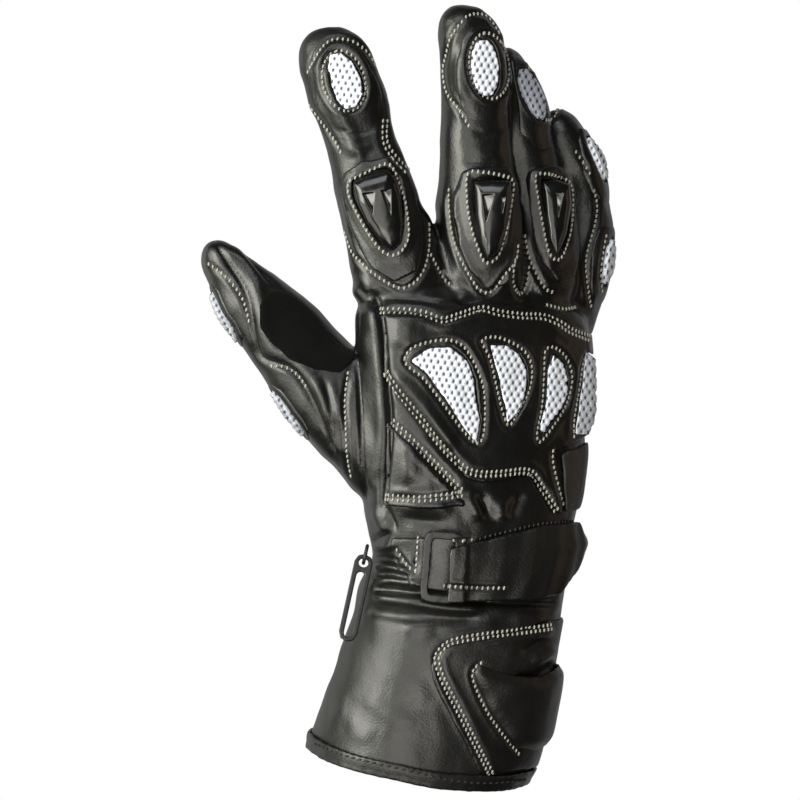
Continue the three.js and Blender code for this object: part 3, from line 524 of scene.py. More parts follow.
FINGER_FOLDS = [
    # ridges that catch the light along the index and the middle finger
    (1.5, 3.0, [(323, 62), (331, 96), (342, 121), (353, 143), (362, 167)]),
    (1.0, 2.6, [(461, 48), (460, 75), (464, 102)]),
    # creases where the fingers bend
    (-0.6, 1.2, [(338, 128), (352, 133), (366, 131), (380, 126)]),
    (0.5, 1.6, [(342, 146), (358, 150), (374, 146)]),
    (-0.5, 1.4, [(346, 158), (360, 158), (374, 154)]),
    (-0.5, 1.4, [(470, 128), (484, 134), (500, 130), (508, 124)]),
    (0.5, 1.8, [(470, 148), (486, 152), (504, 148)]),
    (-0.5, 1.2, [(466, 162), (480, 164), (500, 162)]),
    (-0.5, 1.2, [(530, 140), (542, 146), (554, 142)]),
    # creases round the knuckle pads
    (-0.7, 1.0, [(336, 196), (341, 222), (345, 240)]),
    (-0.6, 1.2, [(352, 280), (362, 292), (372, 300)]),
    (0.6, 1.6, [(356, 274), (368, 284), (380, 294)]),
    (-0.8, 1.2, [(448, 288), (462, 300), (480, 303)]),
    (0.6, 2.0, [(444, 270), (456, 285), (470, 296)]),
    (-0.8, 1.4, [(392, 298), (420, 300), (450, 304), (480, 300), (510, 302), (545, 305)]),
]
RAISED_RIMS = {
    # how high the rim stands and its half width, for each ring of stitches that lies on one
    "index_guard_ring": (1.3, 1.1),
    "middle_guard_ring": (1.3, 1.1),
    "ring_guard_ring": (1.2, 1.0),
}
# A seam's trough: its depth and half width in millimetres, for one and for two lines of thread.
TROUGH = {SINGLE: (0.45, 0.9), DOUBLE: (0.55, 1.4)}
print("folds on hand, cuff and fingers:", len(FOLDS), len(CUFF_FOLDS), len(FINGER_FOLDS))

# %% Press the lines into a piece
# The leather swells beside a seam. Its lip has a share of the trough's depth, and its place and
# width are given in half widths of the trough.
LIP = 0.55
LIP_PLACE, LIP_WIDTH = 1.9, 0.9
REACH_OF_A_LINE = 4
LONGEST_FADE = 14.0
FACES_AWAY, FACES_CAMERA = -0.05, 0.35


def push(pixels, line, closed, height, half_width, lip=0.0):
    """How far each pixel's vertex moves out, in millimetres, for one line."""
    reach = half_width * PIXELS_PER_MM * REACH_OF_A_LINE
    low, high = line.min(0) - reach, line.max(0) + reach
    near = ((pixels > low) & (pixels < high)).all(1)
    moved = np.zeros(len(pixels))
    if not near.any():
        return moved
    gap, walked, length = distance_to(line, pixels[near])
    spread = gap / PIXELS_PER_MM / half_width
    profile = height * np.exp(-spread ** 2)
    profile -= lip * height * np.exp(-((spread - LIP_PLACE) / LIP_WIDTH) ** 2)
    if not closed:
        fade_over = min(LONGEST_FADE, length / 3)
        profile *= ease(np.minimum(walked, length - walked), -fade_over * 0.3, fade_over)
    moved[near] = profile
    return moved


def relief(obj, folds):
    """Pushes the side of a piece that faces the camera in and out along its lines."""
    points = points_of(obj)
    normals = points_of(obj, "normal")
    pixels = to_pixels(points)
    facing = ease(normals @ BACK, FACES_AWAY, FACES_CAMERA)
    moved = np.zeros(len(points))
    for height, half_width, path in folds:
        moved += push(pixels, curve_through(path), OPEN, height, half_width)
    for name, (rows, closed, _) in STITCH_ROWS.items():
        depth, half_width = TROUGH[rows]
        moved += push(pixels, STITCH_LINES[name], closed, -depth, half_width, LIP)
    for name, (height, half_width) in RAISED_RIMS.items():
        moved += push(pixels, STITCH_LINES[name], CLOSED, height, half_width)
    set_points(obj, points + normals * (moved * facing * MM)[:, None])


# %% [markdown]
# ## Materials
#
# Every finish is procedural and reads object coordinates in metres, so a grain of 0.9 mm is a
# texture scale of one over 0.0009. Leather gets its look from three layers of bump: pebbled
# grain, fine pores and slow swelling. Colours are sRGB hex values, turned linear by one function.
# On a colour Mix node, inputs 6 and 7 are the two colours and output 2 is the mixed one.

# %% Node and colour helpers
def linear(hex_colour):
    """An sRGB hex value as a linear RGBA colour."""
    channels = [int(hex_colour[i:i + 2], 16) / 255 for i in (1, 3, 5)]
    return [c / 12.92 if c <= 0.04045 else ((c + 0.055) / 1.055) ** 2.4 for c in channels] + [1.0]


def add(tree, kind, sockets=None, **settings):
    """Adds a node. An input takes a value, or the output that feeds it."""
    made = tree.nodes.new(kind)
    for name, value in settings.items():
        setattr(made, name, value)
    for key, value in (sockets or {}).items():
        if isinstance(value, bpy.types.NodeSocket):
            tree.links.new(value, made.inputs[key])
        else:
            made.inputs[key].default_value = value
    return made


def surface(name, colour, roughness, **sockets):
    """A material with its node tree, its Principled shader and the object coordinates."""
    material = bpy.data.materials.new(name)
    material.use_nodes = True
    shader = material.node_tree.nodes["Principled BSDF"]
    shader.inputs["Base Color"].default_value = linear(colour)
    shader.inputs["Roughness"].default_value = roughness
    for key, value in sockets.items():
        shader.inputs[key.replace("_", " ")].default_value = value
    place = add(material.node_tree, "ShaderNodeTexCoord").outputs["Object"]
    return material, material.node_tree, shader, place


# %% Grained cowhide
SWELL_SIZE, WEAR_SIZE = 13 * MM, 22 * MM


def cowhide(name, colour, roughness, grain, grain_depth, swell_depth):
    """Drum-dyed full-grain leather with a light wax finish: dark, with soft broad highlights."""
    material, tree, shader, place = surface(name, colour, roughness)
    pebbles = add(tree, "ShaderNodeTexVoronoi", {
        "Vector": place, "Scale": 1 / grain}, feature="SMOOTH_F1")
    pores = add(tree, "ShaderNodeTexNoise", {"Vector": place, "Scale": 2.2 / grain, "Detail": 3.0})
    swell = add(tree, "ShaderNodeTexNoise", {"Vector": place, "Scale": 1 / SWELL_SIZE, "Detail": 2.0})
    wear = add(tree, "ShaderNodeTexNoise", {"Vector": place, "Scale": 1 / WEAR_SIZE, "Detail": 2.0})
    slow = add(tree, "ShaderNodeBump", {
        "Height": swell.outputs["Fac"], "Distance": swell_depth, "Strength": 1.0})
    coarse = add(tree, "ShaderNodeBump", {
        "Height": pebbles.outputs["Distance"], "Distance": grain_depth, "Strength": 0.8,
        "Normal": slow.outputs["Normal"]})
    fine = add(tree, "ShaderNodeBump", {
        "Height": pores.outputs["Fac"], "Distance": grain_depth * 0.5, "Strength": 0.6,
        "Normal": coarse.outputs["Normal"]})
    tree.links.new(fine.outputs["Normal"], shader.inputs["Normal"])
    gloss = add(tree, "ShaderNodeMapRange", {
        "Value": wear.outputs["Fac"], "From Min": 0.3, "From Max": 0.7,
        "To Min": roughness - 0.06, "To Max": roughness + 0.07})
    tree.links.new(gloss.outputs["Result"], shader.inputs["Roughness"])
    return material


# name, colour, roughness, then the grain's size, its depth and the depth of the swelling
LEATHER_BLACK = "#090908"
grained_leather = cowhide("grained_cowhide", LEATHER_BLACK, 0.34, 0.9 * MM, 0.08 * MM, 0.3 * MM)
smooth_leather = cowhide("smooth_cowhide", LEATHER_BLACK, 0.4, 0.7 * MM, 0.08 * MM, 0.2 * MM)
embossed_grip = cowhide("embossed_grip_leather", "#1f1c19", 0.55, 1.3 * MM, 0.18 * MM, 0.3 * MM)

# %% Suede
# Split hide with a raised nap: no highlight, only a faint sheen at grazing angles.
NAP_SIZE = 0.5 * MM
suede, suede_tree, suede_shader, suede_place = surface(
    "black_suede", "#0b0b0b", 0.95, Sheen_Weight=0.03, Specular_IOR_Level=0.05)
nap = add(suede_tree, "ShaderNodeTexNoise", {"Vector": suede_place, "Scale": 1 / NAP_SIZE, "Detail": 4.0})
suede_bump = add(suede_tree, "ShaderNodeBump", {
    "Height": nap.outputs["Fac"], "Distance": 0.25 * MM, "Strength": 0.9})
suede_tree.links.new(suede_bump.outputs["Normal"], suede_shader.inputs["Normal"])
nap_colour = add(suede_tree, "ShaderNodeMix", {
    "Factor": nap.outputs["Fac"], 6: linear("#040404"), 7: linear("#0c0c0c")}, data_type="RGBA")
suede_tree.links.new(nap_colour.outputs[2], suede_shader.inputs["Base Color"])

# %% Moulded guard plastic
# Injection-moulded polyurethane from a polished mould: black, with sharp highlights and a few
# faint scuffs in its gloss.
SCUFF_SIZE = 3 * MM
guard_plastic, guard_tree, guard_shader, guard_place = surface(
    "polished_polyurethane", "#0c0c0c", 0.2, IOR=1.56)
scuffs = add(guard_tree, "ShaderNodeTexNoise", {
    "Vector": guard_place, "Scale": 1 / SCUFF_SIZE, "Detail": 5.0})
guard_gloss = add(guard_tree, "ShaderNodeMapRange", {
    "Value": scuffs.outputs["Fac"], "From Min": 0.35, "From Max": 0.75,
    "To Min": 0.15, "To Max": 0.26})
guard_tree.links.new(guard_gloss.outputs["Result"], guard_shader.inputs["Roughness"])

# %% Buckle nylon
# Glass-filled nylon straight from the mould: black and satin, without a polish.
buckle_nylon = surface("moulded_nylon", "#080808", 0.5)[0]

# %% Sewing thread
# Bonded polyester thread: pale grey, satin, with a twist too fine to show as shape.
PLY_SIZE = 0.3 * MM
thread, thread_tree, thread_shader, thread_place = surface("bonded_thread", "#87857d", 0.6)
ply = add(thread_tree, "ShaderNodeTexNoise", {"Vector": thread_place, "Scale": 1 / PLY_SIZE})
ply_bump = add(thread_tree, "ShaderNodeBump", {
    "Height": ply.outputs["Fac"], "Distance": 0.1 * MM, "Strength": 0.6})
thread_tree.links.new(ply_bump.outputs["Normal"], thread_shader.inputs["Normal"])
black_thread = surface("black_thread", "#060606", 0.6)[0]

# %% White mesh fabric
# Spacer mesh knitted from coarse polyester yarn: white and matt, with rows of holes. The holes and
# the lines between the yarns are darkened in the colour, which is painted shade, by an attribute
# that is stored when the weave is raised below. The inserts on the thumb and the ring finger get a
# greyer copy of the fabric, which is painted shade too.
YARN_SIZE = 0.35 * MM


def spacer_mesh(name, yarn_colour, painted_shade_colour):
    """The fabric in one colour, with painted shade in its holes and between its yarns."""
    material, tree, shader, place = surface(name, yarn_colour, 0.75)
    hole_and_gap_shade = add(tree, "ShaderNodeAttribute", attribute_name="hole_and_gap_shade")
    colour = add(tree, "ShaderNodeMix", {
        "Factor": hole_and_gap_shade.outputs["Fac"], 6: linear(yarn_colour), 7: linear(painted_shade_colour)}, data_type="RGBA")
    tree.links.new(colour.outputs[2], shader.inputs["Base Color"])
    yarn = add(tree, "ShaderNodeTexNoise", {"Vector": place, "Scale": 1 / YARN_SIZE, "Detail": 2.0})
    bump = add(tree, "ShaderNodeBump", {
        "Height": yarn.outputs["Fac"], "Distance": 0.12 * MM, "Strength": 0.7})
    tree.links.new(bump.outputs["Normal"], shader.inputs["Normal"])
    return material


clean_mesh = spacer_mesh("white_spacer_mesh", "#cdd1da", "#464a56")
# A greyer copy of the fabric, as painted shade, for the inserts on the thumb and the ring finger.
shade_painted_mesh = spacer_mesh("shade_painted_spacer_mesh", "#969aa4", "#2c2f38")
print("materials:", [m.name for m in bpy.data.materials if m.users])


# %% Finish a piece
def finish_piece(obj, material, nodes=()):
    """Gives a piece its one material, hangs it on the root, and hides the frame nodes that it stands for.
    """
    obj.data.materials.clear()
    obj.data.materials.append(material)
    obj.data.polygons.foreach_set("use_smooth", [True] * len(obj.data.polygons))
    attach(obj, "root")
    if nodes:
        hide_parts(*nodes)


# %% [markdown]
# ## Handling marks
#
# Leather is never flat: shallow dents about a centimetre wide break up its highlights. A Displace
# modifier with a cloud texture makes them. It reads world space, so that a pad and the leather
# under it dent together.

# %% Dents
DENT_SIZE, DENT_DEPTH = 11 * MM, 0.5 * MM
dents = bpy.data.textures.new("dents", "CLOUDS")
dents.noise_scale = DENT_SIZE
dents.noise_depth = 2


def handle(obj):
    """Presses shallow dents into a piece, as handling does."""
    bake(obj, "DISPLACE", texture=dents, texture_coords="GLOBAL", strength=DENT_DEPTH, mid_level=0.5)


# %% [markdown]
# ## The leather shells
#
# The fused skin is now rounded and pressed as one, so that no step shows where a finger's stall
# meets the hand. Only then is it split into the hand, the palm and the stalls, by the frame node
# that lies nearest to each face. Both sides of a cut keep the normals that they had before it.

# %% Round, press and split the skin
set_points(fused, nudge(rough + rounding))
handle(fused)
relief(fused, FOLDS + FINGER_FOLDS + CUFF_FOLDS)
skin_points = points_of(fused)
skin_normals = points_of(fused, "normal")
skin_faces = np.array([list(p.vertices) for p in fused.data.polygons])
face_centres = rough[skin_faces].mean(1)

PROBE_VOXEL = 1.6 * MM
samples, owners = [], []
for node_name in SHELLS:
    probe = copy_of("probe", [node_name])
    bake(probe, "REMESH", mode="VOXEL", voxel_size=PROBE_VOXEL)
    samples.extend(points_of(probe))
    owners.extend([node_name] * len(probe.data.vertices))
    bpy.data.objects.remove(probe)
face_owner = np.array(owners)[nearest_in(search_tree(samples), face_centres)]

# %% Make a piece of each part of the skin
shell_pieces = []
for node_name in SHELLS:
    faces = skin_faces[face_owner == node_name]
    used, renumbered = np.unique(faces, return_inverse=True)
    mesh = bpy.data.meshes.new(node_name + "_leather")
    mesh.from_pydata(skin_points[used].tolist(), [], renumbered.reshape(-1, 4).tolist())
    mesh.polygons.foreach_set("use_smooth", [True] * len(mesh.polygons))
    mesh.normals_split_custom_set_from_vertices(skin_normals[used].tolist())
    piece = show(node_name + "_leather", mesh)
    if node_name == "gauntlet_cuff":
        finish_piece(piece, smooth_leather, [node_name])
    else:
        finish_piece(piece, grained_leather, [node_name])
    shell_pieces.append(piece)
    print(piece.name, len(mesh.polygons), "faces")
bpy.data.objects.remove(fused)

# %% [markdown]
# ## Layers sewn on the leather
#
# Pads, panels, patches and the strap are remeshed finely, carried along by the rounding field,
# and softened at their edges. How much each is relaxed decides how rounded its edge gets: a
# padded knuckle more than a thin patch. The pads round the mesh windows are skived, which means
# pared thin at the edge, so that they run into the leather without a step.

# %% Pare a pad's edge, and slide a patch
SKIVE_DEPTH = 0.9 * MM
EDGE_TILT, FACE_TILT = 0.5, 0.98
PARED_FROM, PARED_TO = 12 * MM, 19 * MM


def skive(pad, insert_name, out):
    """Pares a pad down along its edge and far from the mesh insert that it frames."""
    insert = copy_of("insert", [insert_name])
    far = np.linalg.norm(points_of(pad) - points_of(insert).mean(0), axis=1)
    bpy.data.objects.remove(insert)
    tilted = 1 - ease((points_of(pad, "normal") * out).sum(1), EDGE_TILT, FACE_TILT)
    pared = np.maximum(tilted, ease(far, PARED_FROM, PARED_TO))
    set_points(pad, points_of(pad) - out * (pared * SKIVE_DEPTH)[:, None])


def slide(obj, pulls):
    """Moves a piece along the skin by pulls on the picture, and keeps its height above the skin."""
    points = points_of(obj)
    height = points - rough[nearest_in(skin_tree, points)]
    set_points(obj, rough[nearest_in(skin_tree, nudge(points, pulls))] + height)


# The suede patch in the crook of the thumb lies a little higher in the picture than its solid.
PATCH_PULLS = np.array([
    (272, 295, -2, -2), (291, 295, 0, -8), (305, 305, 4, -8), (326, 331, 7, -8), (344, 357, 8, -8),
    (338, 371, 7, -2), (318, 372, 2, -3), (295, 369, 0, -7), (272, 348, -1, -6), (262, 327, 0, -6),
    (262, 308, 0, -5), (290, 325, 1, -7), (312, 350, 4, -6), (285, 350, 0, -7),
], float)

# %% The layers, one row each
FINE, MEDIUM = 0.45 * MM, 0.6 * MM
FINEST = 0.3 * MM
LAYERS = {
    # node: voxel, relaxing steps, how deep it is pressed in millimetres, material, folds
    "back_panel": (MEDIUM, 8, 0.9, grained_leather, FOLDS),
    "thumb_side_panel": (MEDIUM, 6, 0.7, grained_leather, FOLDS),
    "edge_patch": (MEDIUM, 12, 0.7, embossed_grip, FOLDS),
    "crotch_patch": (MEDIUM, 60, 0.8, suede, FOLDS),
    "index_tip_pad": (FINE, 40, 1.0, grained_leather, FINGER_FOLDS),
    "middle_tip_pad": (FINE, 40, 1.0, grained_leather, FINGER_FOLDS),
    "ring_tip_pad": (FINE, 40, 1.1, grained_leather, []),
    "little_tip_pad": (FINE, 50, 1.1, grained_leather, []),
    "thumb_tip_pad": (FINE, 60, 1.3, grained_leather, []),
    "thumb_knuckle_pad": (FINE, 60, 1.3, grained_leather, []),
    "little_knuckle_pad": (FINE, 50, 1.3, grained_leather, []),
    "index_knuckle_pad": (FINE, 16, 0.8, grained_leather, FINGER_FOLDS),
    "middle_knuckle_pad": (FINE, 16, 0.8, grained_leather, FINGER_FOLDS),
    "ring_knuckle_pad": (FINE, 16, 0.8, grained_leather, []),
    "wrist_strap": (FINE, 10, 0.0, smooth_leather, []),
    "strap_anchor": (FINE, 4, 0.5, smooth_leather, FOLDS),
    "buckle_ring": (FINEST, 6, 0.0, buckle_nylon, []),
    "cuff_chevron_panel": (MEDIUM, 10, 0.7, smooth_leather, CUFF_FOLDS),
    "cuff_guard": (MEDIUM, 40, 0.8, smooth_leather, []),
    "hem_binding": (FINE, 10, 0.0, smooth_leather, []),
}
UNDENTED = ["buckle_ring", "hem_binding", "cuff_guard", "wrist_strap"]
INSERT_PADS = [
    "index_tip_pad", "middle_tip_pad", "ring_tip_pad", "little_tip_pad", "thumb_tip_pad",
    "thumb_knuckle_pad", "little_knuckle_pad",
]
KNUCKLE_PADS = ["index_knuckle_pad", "middle_knuckle_pad", "ring_knuckle_pad"]

# %% Soften the layers
layer_pieces = {}
for node_name, (voxel, relaxing, sink, material, folds) in LAYERS.items():
    layer = copy_of(node_name + "_soft", [node_name])
    bake(layer, "REMESH", mode="VOXEL", voxel_size=voxel, use_smooth_shade=True)
    if node_name == "crotch_patch":
        slide(layer, PATCH_PULLS)
    nearest = round_off(layer, sink)
    bake(layer, "SMOOTH", factor=1.0, iterations=relaxing)
    if node_name in INSERT_PADS:
        skive(layer, node_name.replace("_pad", "_mesh"), outwards[nearest])
    if node_name == "cuff_guard":
        set_points(layer, nudge(points_of(layer), CUFF_GUARD_NUDGES))
    if node_name not in UNDENTED:
        handle(layer)
    relief(layer, folds)
    finish_piece(layer, material, [node_name])
    layer_pieces[node_name] = layer
    print(layer.name, len(layer.data.polygons), "faces")

# %% [markdown]
# ## The clip
#
# The hairpin clip that keeps a pair together hangs from a loop of cord. Both are small and hang
# free, so they stay where they are and only lose their facets.

# %% Clip and cord
SMALL_PIECES = {
    # node: voxel, material, slot
    "pair_clip": (0.25 * MM, buckle_nylon, "guard_plastic"),
    "clip_cord": (0.2 * MM, black_thread, "elastic_cord"),
}
SMALL_RELAXING = 4
for node_name, (voxel, material, slot_name) in SMALL_PIECES.items():
    small = copy_of(node_name + "_soft", [node_name])
    bake(small, "REMESH", mode="VOXEL", voxel_size=voxel, use_smooth_shade=True)
    bake(small, "SMOOTH", factor=1.0, iterations=SMALL_RELAXING)
    finish_piece(small, material, [node_name])
    print(small.name, len(small.data.polygons), "faces")

# %% [markdown]
# ## Mesh windows
#
# The pale inserts are a coarse spacer mesh: staggered rows of holes, 2.5 by 2.1
# millimetres apart, with yarn swelling up between them. The weave is raised in the geometry,
# from each vertex's place on the picture plane, and the same number paints shade into the holes
# and between the yarns.

# %% The weave as a rule
WEAVE_ACROSS, WEAVE_DOWN = 2.5, 2.06
WEAVE_TURN = math.radians(7)
YARN_HEIGHT = 0.28
HOLE_DEPTH, HOLE_SIZE = 0.3, 0.36
# Between the yarns the colour is darkened by the second number, as painted shade.
YARN_GAP, YARN_GAP_SHADE = (0.02, 0.14), 0.22


def weave_at(points):
    """How high the yarn stands at each point, in millimetres, and how much painted shade it gets, in the
    holes and between the yarns.
    """
    plane = to_pixels(points) / PIXELS_PER_MM
    across = (plane[:, 0] * math.cos(WEAVE_TURN) + plane[:, 1] * math.sin(WEAVE_TURN)) / WEAVE_ACROSS
    down = (plane[:, 1] * math.cos(WEAVE_TURN) - plane[:, 0] * math.sin(WEAVE_TURN)) / WEAVE_DOWN
    u = across + down / 2
    v = across - down / 2
    from_u = np.abs(u - np.round(u))
    from_v = np.abs(v - np.round(v))
    yarn_rise = np.sqrt(np.sin(math.pi * from_u) * np.sin(math.pi * from_v)) - 0.5
    in_hole = 1 - ease(np.hypot(from_u, from_v), HOLE_SIZE * 0.4, HOLE_SIZE)
    in_gap = 1 - ease(np.minimum(from_u, from_v), *YARN_GAP)
    return yarn_rise * YARN_HEIGHT - in_hole * HOLE_DEPTH, np.maximum(in_hole, YARN_GAP_SHADE * in_gap)


# %% Raise the weave
MESH_NODES = {
    # how deep each insert is pressed, as its frame is
    "back_mesh_1": 0.9, "back_mesh_2": 0.9, "back_mesh_3": 0.9, "back_mesh_4": 0.9,
    "index_tip_mesh": 0.8, "middle_tip_mesh": 0.8, "ring_tip_mesh": 0.8, "little_tip_mesh": 0.7,
    "little_knuckle_mesh": 0.8, "thumb_tip_mesh": 0.7, "thumb_knuckle_mesh": 0.7,
}
# These inserts take the greyer copy of the fabric: painted shade.
SHADE_PAINTED_INSERTS = ["ring_tip_mesh", "thumb_tip_mesh", "thumb_knuckle_mesh"]
MESH_VOXEL = 0.35 * MM
MESH_RELAXING = 4
TUCKED_UNDER = 0.1
EDGE_OF_INSERT = 0.25, 0.8

for node_name, sink in MESH_NODES.items():
    weave = copy_of(node_name + "_weave", [node_name])
    bake(weave, "REMESH", mode="VOXEL", voxel_size=MESH_VOXEL, use_smooth_shade=True)
    out = outwards[round_off(weave, sink)]
    bake(weave, "SMOOTH", factor=1.0, iterations=MESH_RELAXING)
    points = points_of(weave)
    normals = points_of(weave, "normal")
    upwards = (normals * out).sum(1)
    at_side = 1 - ease(upwards, *EDGE_OF_INSERT)
    sideways = normals - out * upwards[:, None]
    rise, hole_and_gap_shade = weave_at(points)
    points += normals * (rise * (1 - at_side) * MM)[:, None]
    points += sideways * (at_side * TUCKED_UNDER * MM)[:, None]
    set_points(weave, points)
    # The darkening stored here is painted shade in the holes and between the yarns.
    attribute = weave.data.attributes.new("hole_and_gap_shade", "FLOAT", "POINT")
    attribute.data.foreach_set("value", hole_and_gap_shade.astype(np.float32))
    # The thumb's and the ring finger's inserts take the greyer copy: painted shade.
    fabric = shade_painted_mesh if node_name in SHADE_PAINTED_INSERTS else clean_mesh
    finish_piece(weave, fabric, [node_name])
    print(weave.name, len(weave.data.polygons), "faces")

# %% [markdown]
# ## Knuckle guards
#
# Each guard is a moulded shield: a straight top edge, sides that run to a point, and a low dome
# with narrow three-cornered slots. Rings of points at rising heights describe the dome fully, so
# it is lofted through them, in a plane that leans with the finger. The corners of a ring come
# from where a ray from the centre crosses the outline. The slots are pressed in afterwards.

# %% The guards' outlines
SHIELDS = {
    # outline as pixels, its centre, height in millimetres, slots as triangles
    "index_knuckle_guard": (
        [(353, 183), (364, 177), (389, 170), (395, 179), (401, 197), (404, 224), (402, 243), (392, 252),
         (381, 244), (367, 224), (357, 203)], (379, 206), 4.2,
        [[(362, 193), (376, 191), (373, 216)], [(381, 190), (392, 188), (391, 217)]]),
    "middle_knuckle_guard": (
        [(473, 180), (492, 179), (511, 181), (511, 202), (507, 231), (499, 251), (488, 261),
         (480, 243), (475, 216)], (491, 206), 4.6,
        [[(482, 194), (496, 193), (486, 224)], [(500, 196), (507, 196), (502, 218)]]),
    "ring_knuckle_guard": (
        [(541, 179), (556, 179), (570, 184), (572, 203), (567, 233), (557, 258), (549, 243),
         (544, 216)], (557, 206), 4.4,
        [[(554, 192), (565, 192), (558, 220)]]),
}
# Each ring of the loft: its size about the centre and its share of the height.
SHIELD_RINGS = [
    (1.0, -0.35), (1.0, 0.28), (0.94, 0.50), (0.84, 0.68), (0.70, 0.83), (0.52, 0.93),
    (0.30, 0.98), (0.04, 1.0),
]
SHIELD_RAYS = 120
SHIELD_VOXEL = 0.22 * MM
SHIELD_RELAXING, SLOT_RELAXING = 26, 1
LEAN_TO_CAMERA = 0.45

# %% Rays and hits
def crossing(centre, direction, outline):
    """How far from the centre a ray leaves a closed outline."""
    reach = 0.0
    for start, end in zip(outline, outline[1:] + outline[:1]):
        edge = np.subtract(end, start)
        det = direction[0] * -edge[1] + edge[0] * direction[1]
        if abs(det) < 1e-9:
            continue
        rel = np.subtract(start, centre)
        far = (rel[0] * -edge[1] + edge[0] * rel[1]) / det
        share = (direction[0] * rel[1] - direction[1] * rel[0]) / det
        if far > 0 and -1e-6 <= share <= 1 + 1e-6:
            reach = max(reach, far)
    return reach


def tree_of(objects):
    """One search tree over several pieces, to cast rays at."""
    corners, faces, start = [], [], 0
    for obj in objects:
        corners.append(points_of(obj))
        for polygon in obj.data.polygons:
            faces.append([start + i for i in polygon.vertices])
        start += len(obj.data.vertices)
    return BVHTree.FromPolygons(np.concatenate(corners).tolist(), faces)


# %% Press a slot
SLOT_DEPTH = 1.7
SLOT_WALL = 1.4
SLOT_END = 0.95


def cut_slot(points, normals, corners):
    """Presses a triangle in: deep at its left edge, level with the face at its right edge."""
    pixels = to_pixels(points)
    left, right, tip = (np.array(corner, float) for corner in corners)
    inside = np.full(len(points), np.inf)
    for start, end in ((left, right), (right, tip), (tip, left)):
        edge = end - start
        rel = pixels - start
        inside = np.minimum(inside, (edge[0] * rel[:, 1] - edge[1] * rel[:, 0]) / np.linalg.norm(edge))
    down = np.clip((pixels[:, 1] - left[1]) / (tip[1] - left[1]), 0, SLOT_END)
    from_left = left[0] + (tip[0] - left[0]) * down
    to_right = right[0] + (tip[0] - right[0]) * down
    across = np.clip((pixels[:, 0] - from_left) / (to_right - from_left), 0, 1)
    depth = SLOT_DEPTH * (1 - across) * ease(inside, 0, SLOT_WALL) * ease(normals @ BACK, 0, 0.3)
    return points - BACK * (depth * MM)[:, None]


# %% Loft a shield through its rings
def shield_corners(outline, middle, height, base, out):
    """The corners of all rings, each where a line of sight meets the ring's own plane."""
    corners = []
    for size, share in SHIELD_RINGS:
        plane_point = base + out * (share * height * MM)
        for ray in range(SHIELD_RAYS):
            angle = 2 * math.pi * ray / SHIELD_RAYS
            direction = np.array([math.cos(angle), math.sin(angle)])
            look = sight(middle + direction * crossing(middle, direction, outline) * size)
            reach = (plane_point - Vector(EYE)).dot(out) / look.dot(out)
            corners.append(Vector(EYE) + look * reach)
    return corners


def shield_faces():
    """Quads between each ring and the next, and one face over each end."""
    faces = []
    last = (len(SHIELD_RINGS) - 1) * SHIELD_RAYS
    for first in range(0, last, SHIELD_RAYS):
        second = first + SHIELD_RAYS
        for ray in range(SHIELD_RAYS):
            after = (ray + 1) % SHIELD_RAYS
            faces.append([first + ray, first + after, second + after, second + ray])
    faces.append(list(range(last, last + SHIELD_RAYS)))
    faces.append(list(range(SHIELD_RAYS - 1, -1, -1)))
    return faces


# %% Set a guard on each knuckle pad
pad_tree = tree_of([layer_pieces[name] for name in KNUCKLE_PADS])
for node_name, (outline, middle, height, slots) in SHIELDS.items():
    hits = [pad_tree.ray_cast(Vector(EYE), sight(pixel)) for pixel in outline]
    hits = [hit for hit in hits if hit[0] is not None]
    base = sum((hit[0] for hit in hits), Vector()) / len(hits)
    out = sum((hit[1] for hit in hits), Vector()).normalized()
    out = (out * (1 - LEAN_TO_CAMERA) + Vector(BACK) * LEAN_TO_CAMERA).normalized()
    mesh = bpy.data.meshes.new(node_name + "_shield")
    mesh.from_pydata(shield_corners(outline, middle, height, base, out), [], shield_faces())
    build = bmesh.new()
    build.from_mesh(mesh)
    bmesh.ops.recalc_face_normals(build, faces=build.faces)
    build.to_mesh(mesh)
    build.free()
    shield = show(node_name + "_shield", mesh)
    bake(shield, "REMESH", mode="VOXEL", voxel_size=SHIELD_VOXEL, use_smooth_shade=True)
    bake(shield, "SMOOTH", factor=1.0, iterations=SHIELD_RELAXING)
    for slot in slots:
        set_points(shield, cut_slot(points_of(shield), points_of(shield, "normal"), slot))
    bake(shield, "SMOOTH", factor=1.0, iterations=SLOT_RELAXING)
    finish_piece(shield, guard_plastic, [node_name])
    layer_pieces[node_name] = shield
    print(shield.name, len(shield.data.polygons), "faces")

# %% [markdown]
# ## Stitches
#
# There are well over a thousand stitches, so one is built by Geometry Nodes and repeated. Python
# only draws the rows: it casts each point of a row from the camera onto the finished pieces, and
# keeps the way that the surface faces there. The node tree turns the rows to curves, spaces
# points along them by the stitch length, and sets a short rounded thread on each.

# %% Draw the rows on the pieces
STEP_PIXELS = 1.5
LONGEST_JUMP = 3 * MM
cover_tree = tree_of(shell_pieces + list(layer_pieces.values()))


def row_on_surface(line):
    """The stretches of a picture line that lie on the glove, as lists of (point, facing)."""
    lengths = np.concatenate([[0], np.cumsum(np.linalg.norm(np.diff(line, axis=0), axis=1))])
    steps = np.arange(0, lengths[-1], STEP_PIXELS)
    pixels = np.stack([np.interp(steps, lengths, line[:, k]) for k in (0, 1)], 1)
    stretches, stretch = [], []
    for pixel in pixels:
        hit, facing, _, _ = cover_tree.ray_cast(Vector(EYE), sight(pixel))
        jump = bool(stretch) and hit is not None and (hit - stretch[-1][0]).length > LONGEST_JUMP
        if hit is None or jump:
            stretches.append(stretch)
            stretch = []
        if hit is not None:
            stretch.append((hit, facing))
    stretches.append(stretch)
    return [s for s in stretches if len(s) > 2]


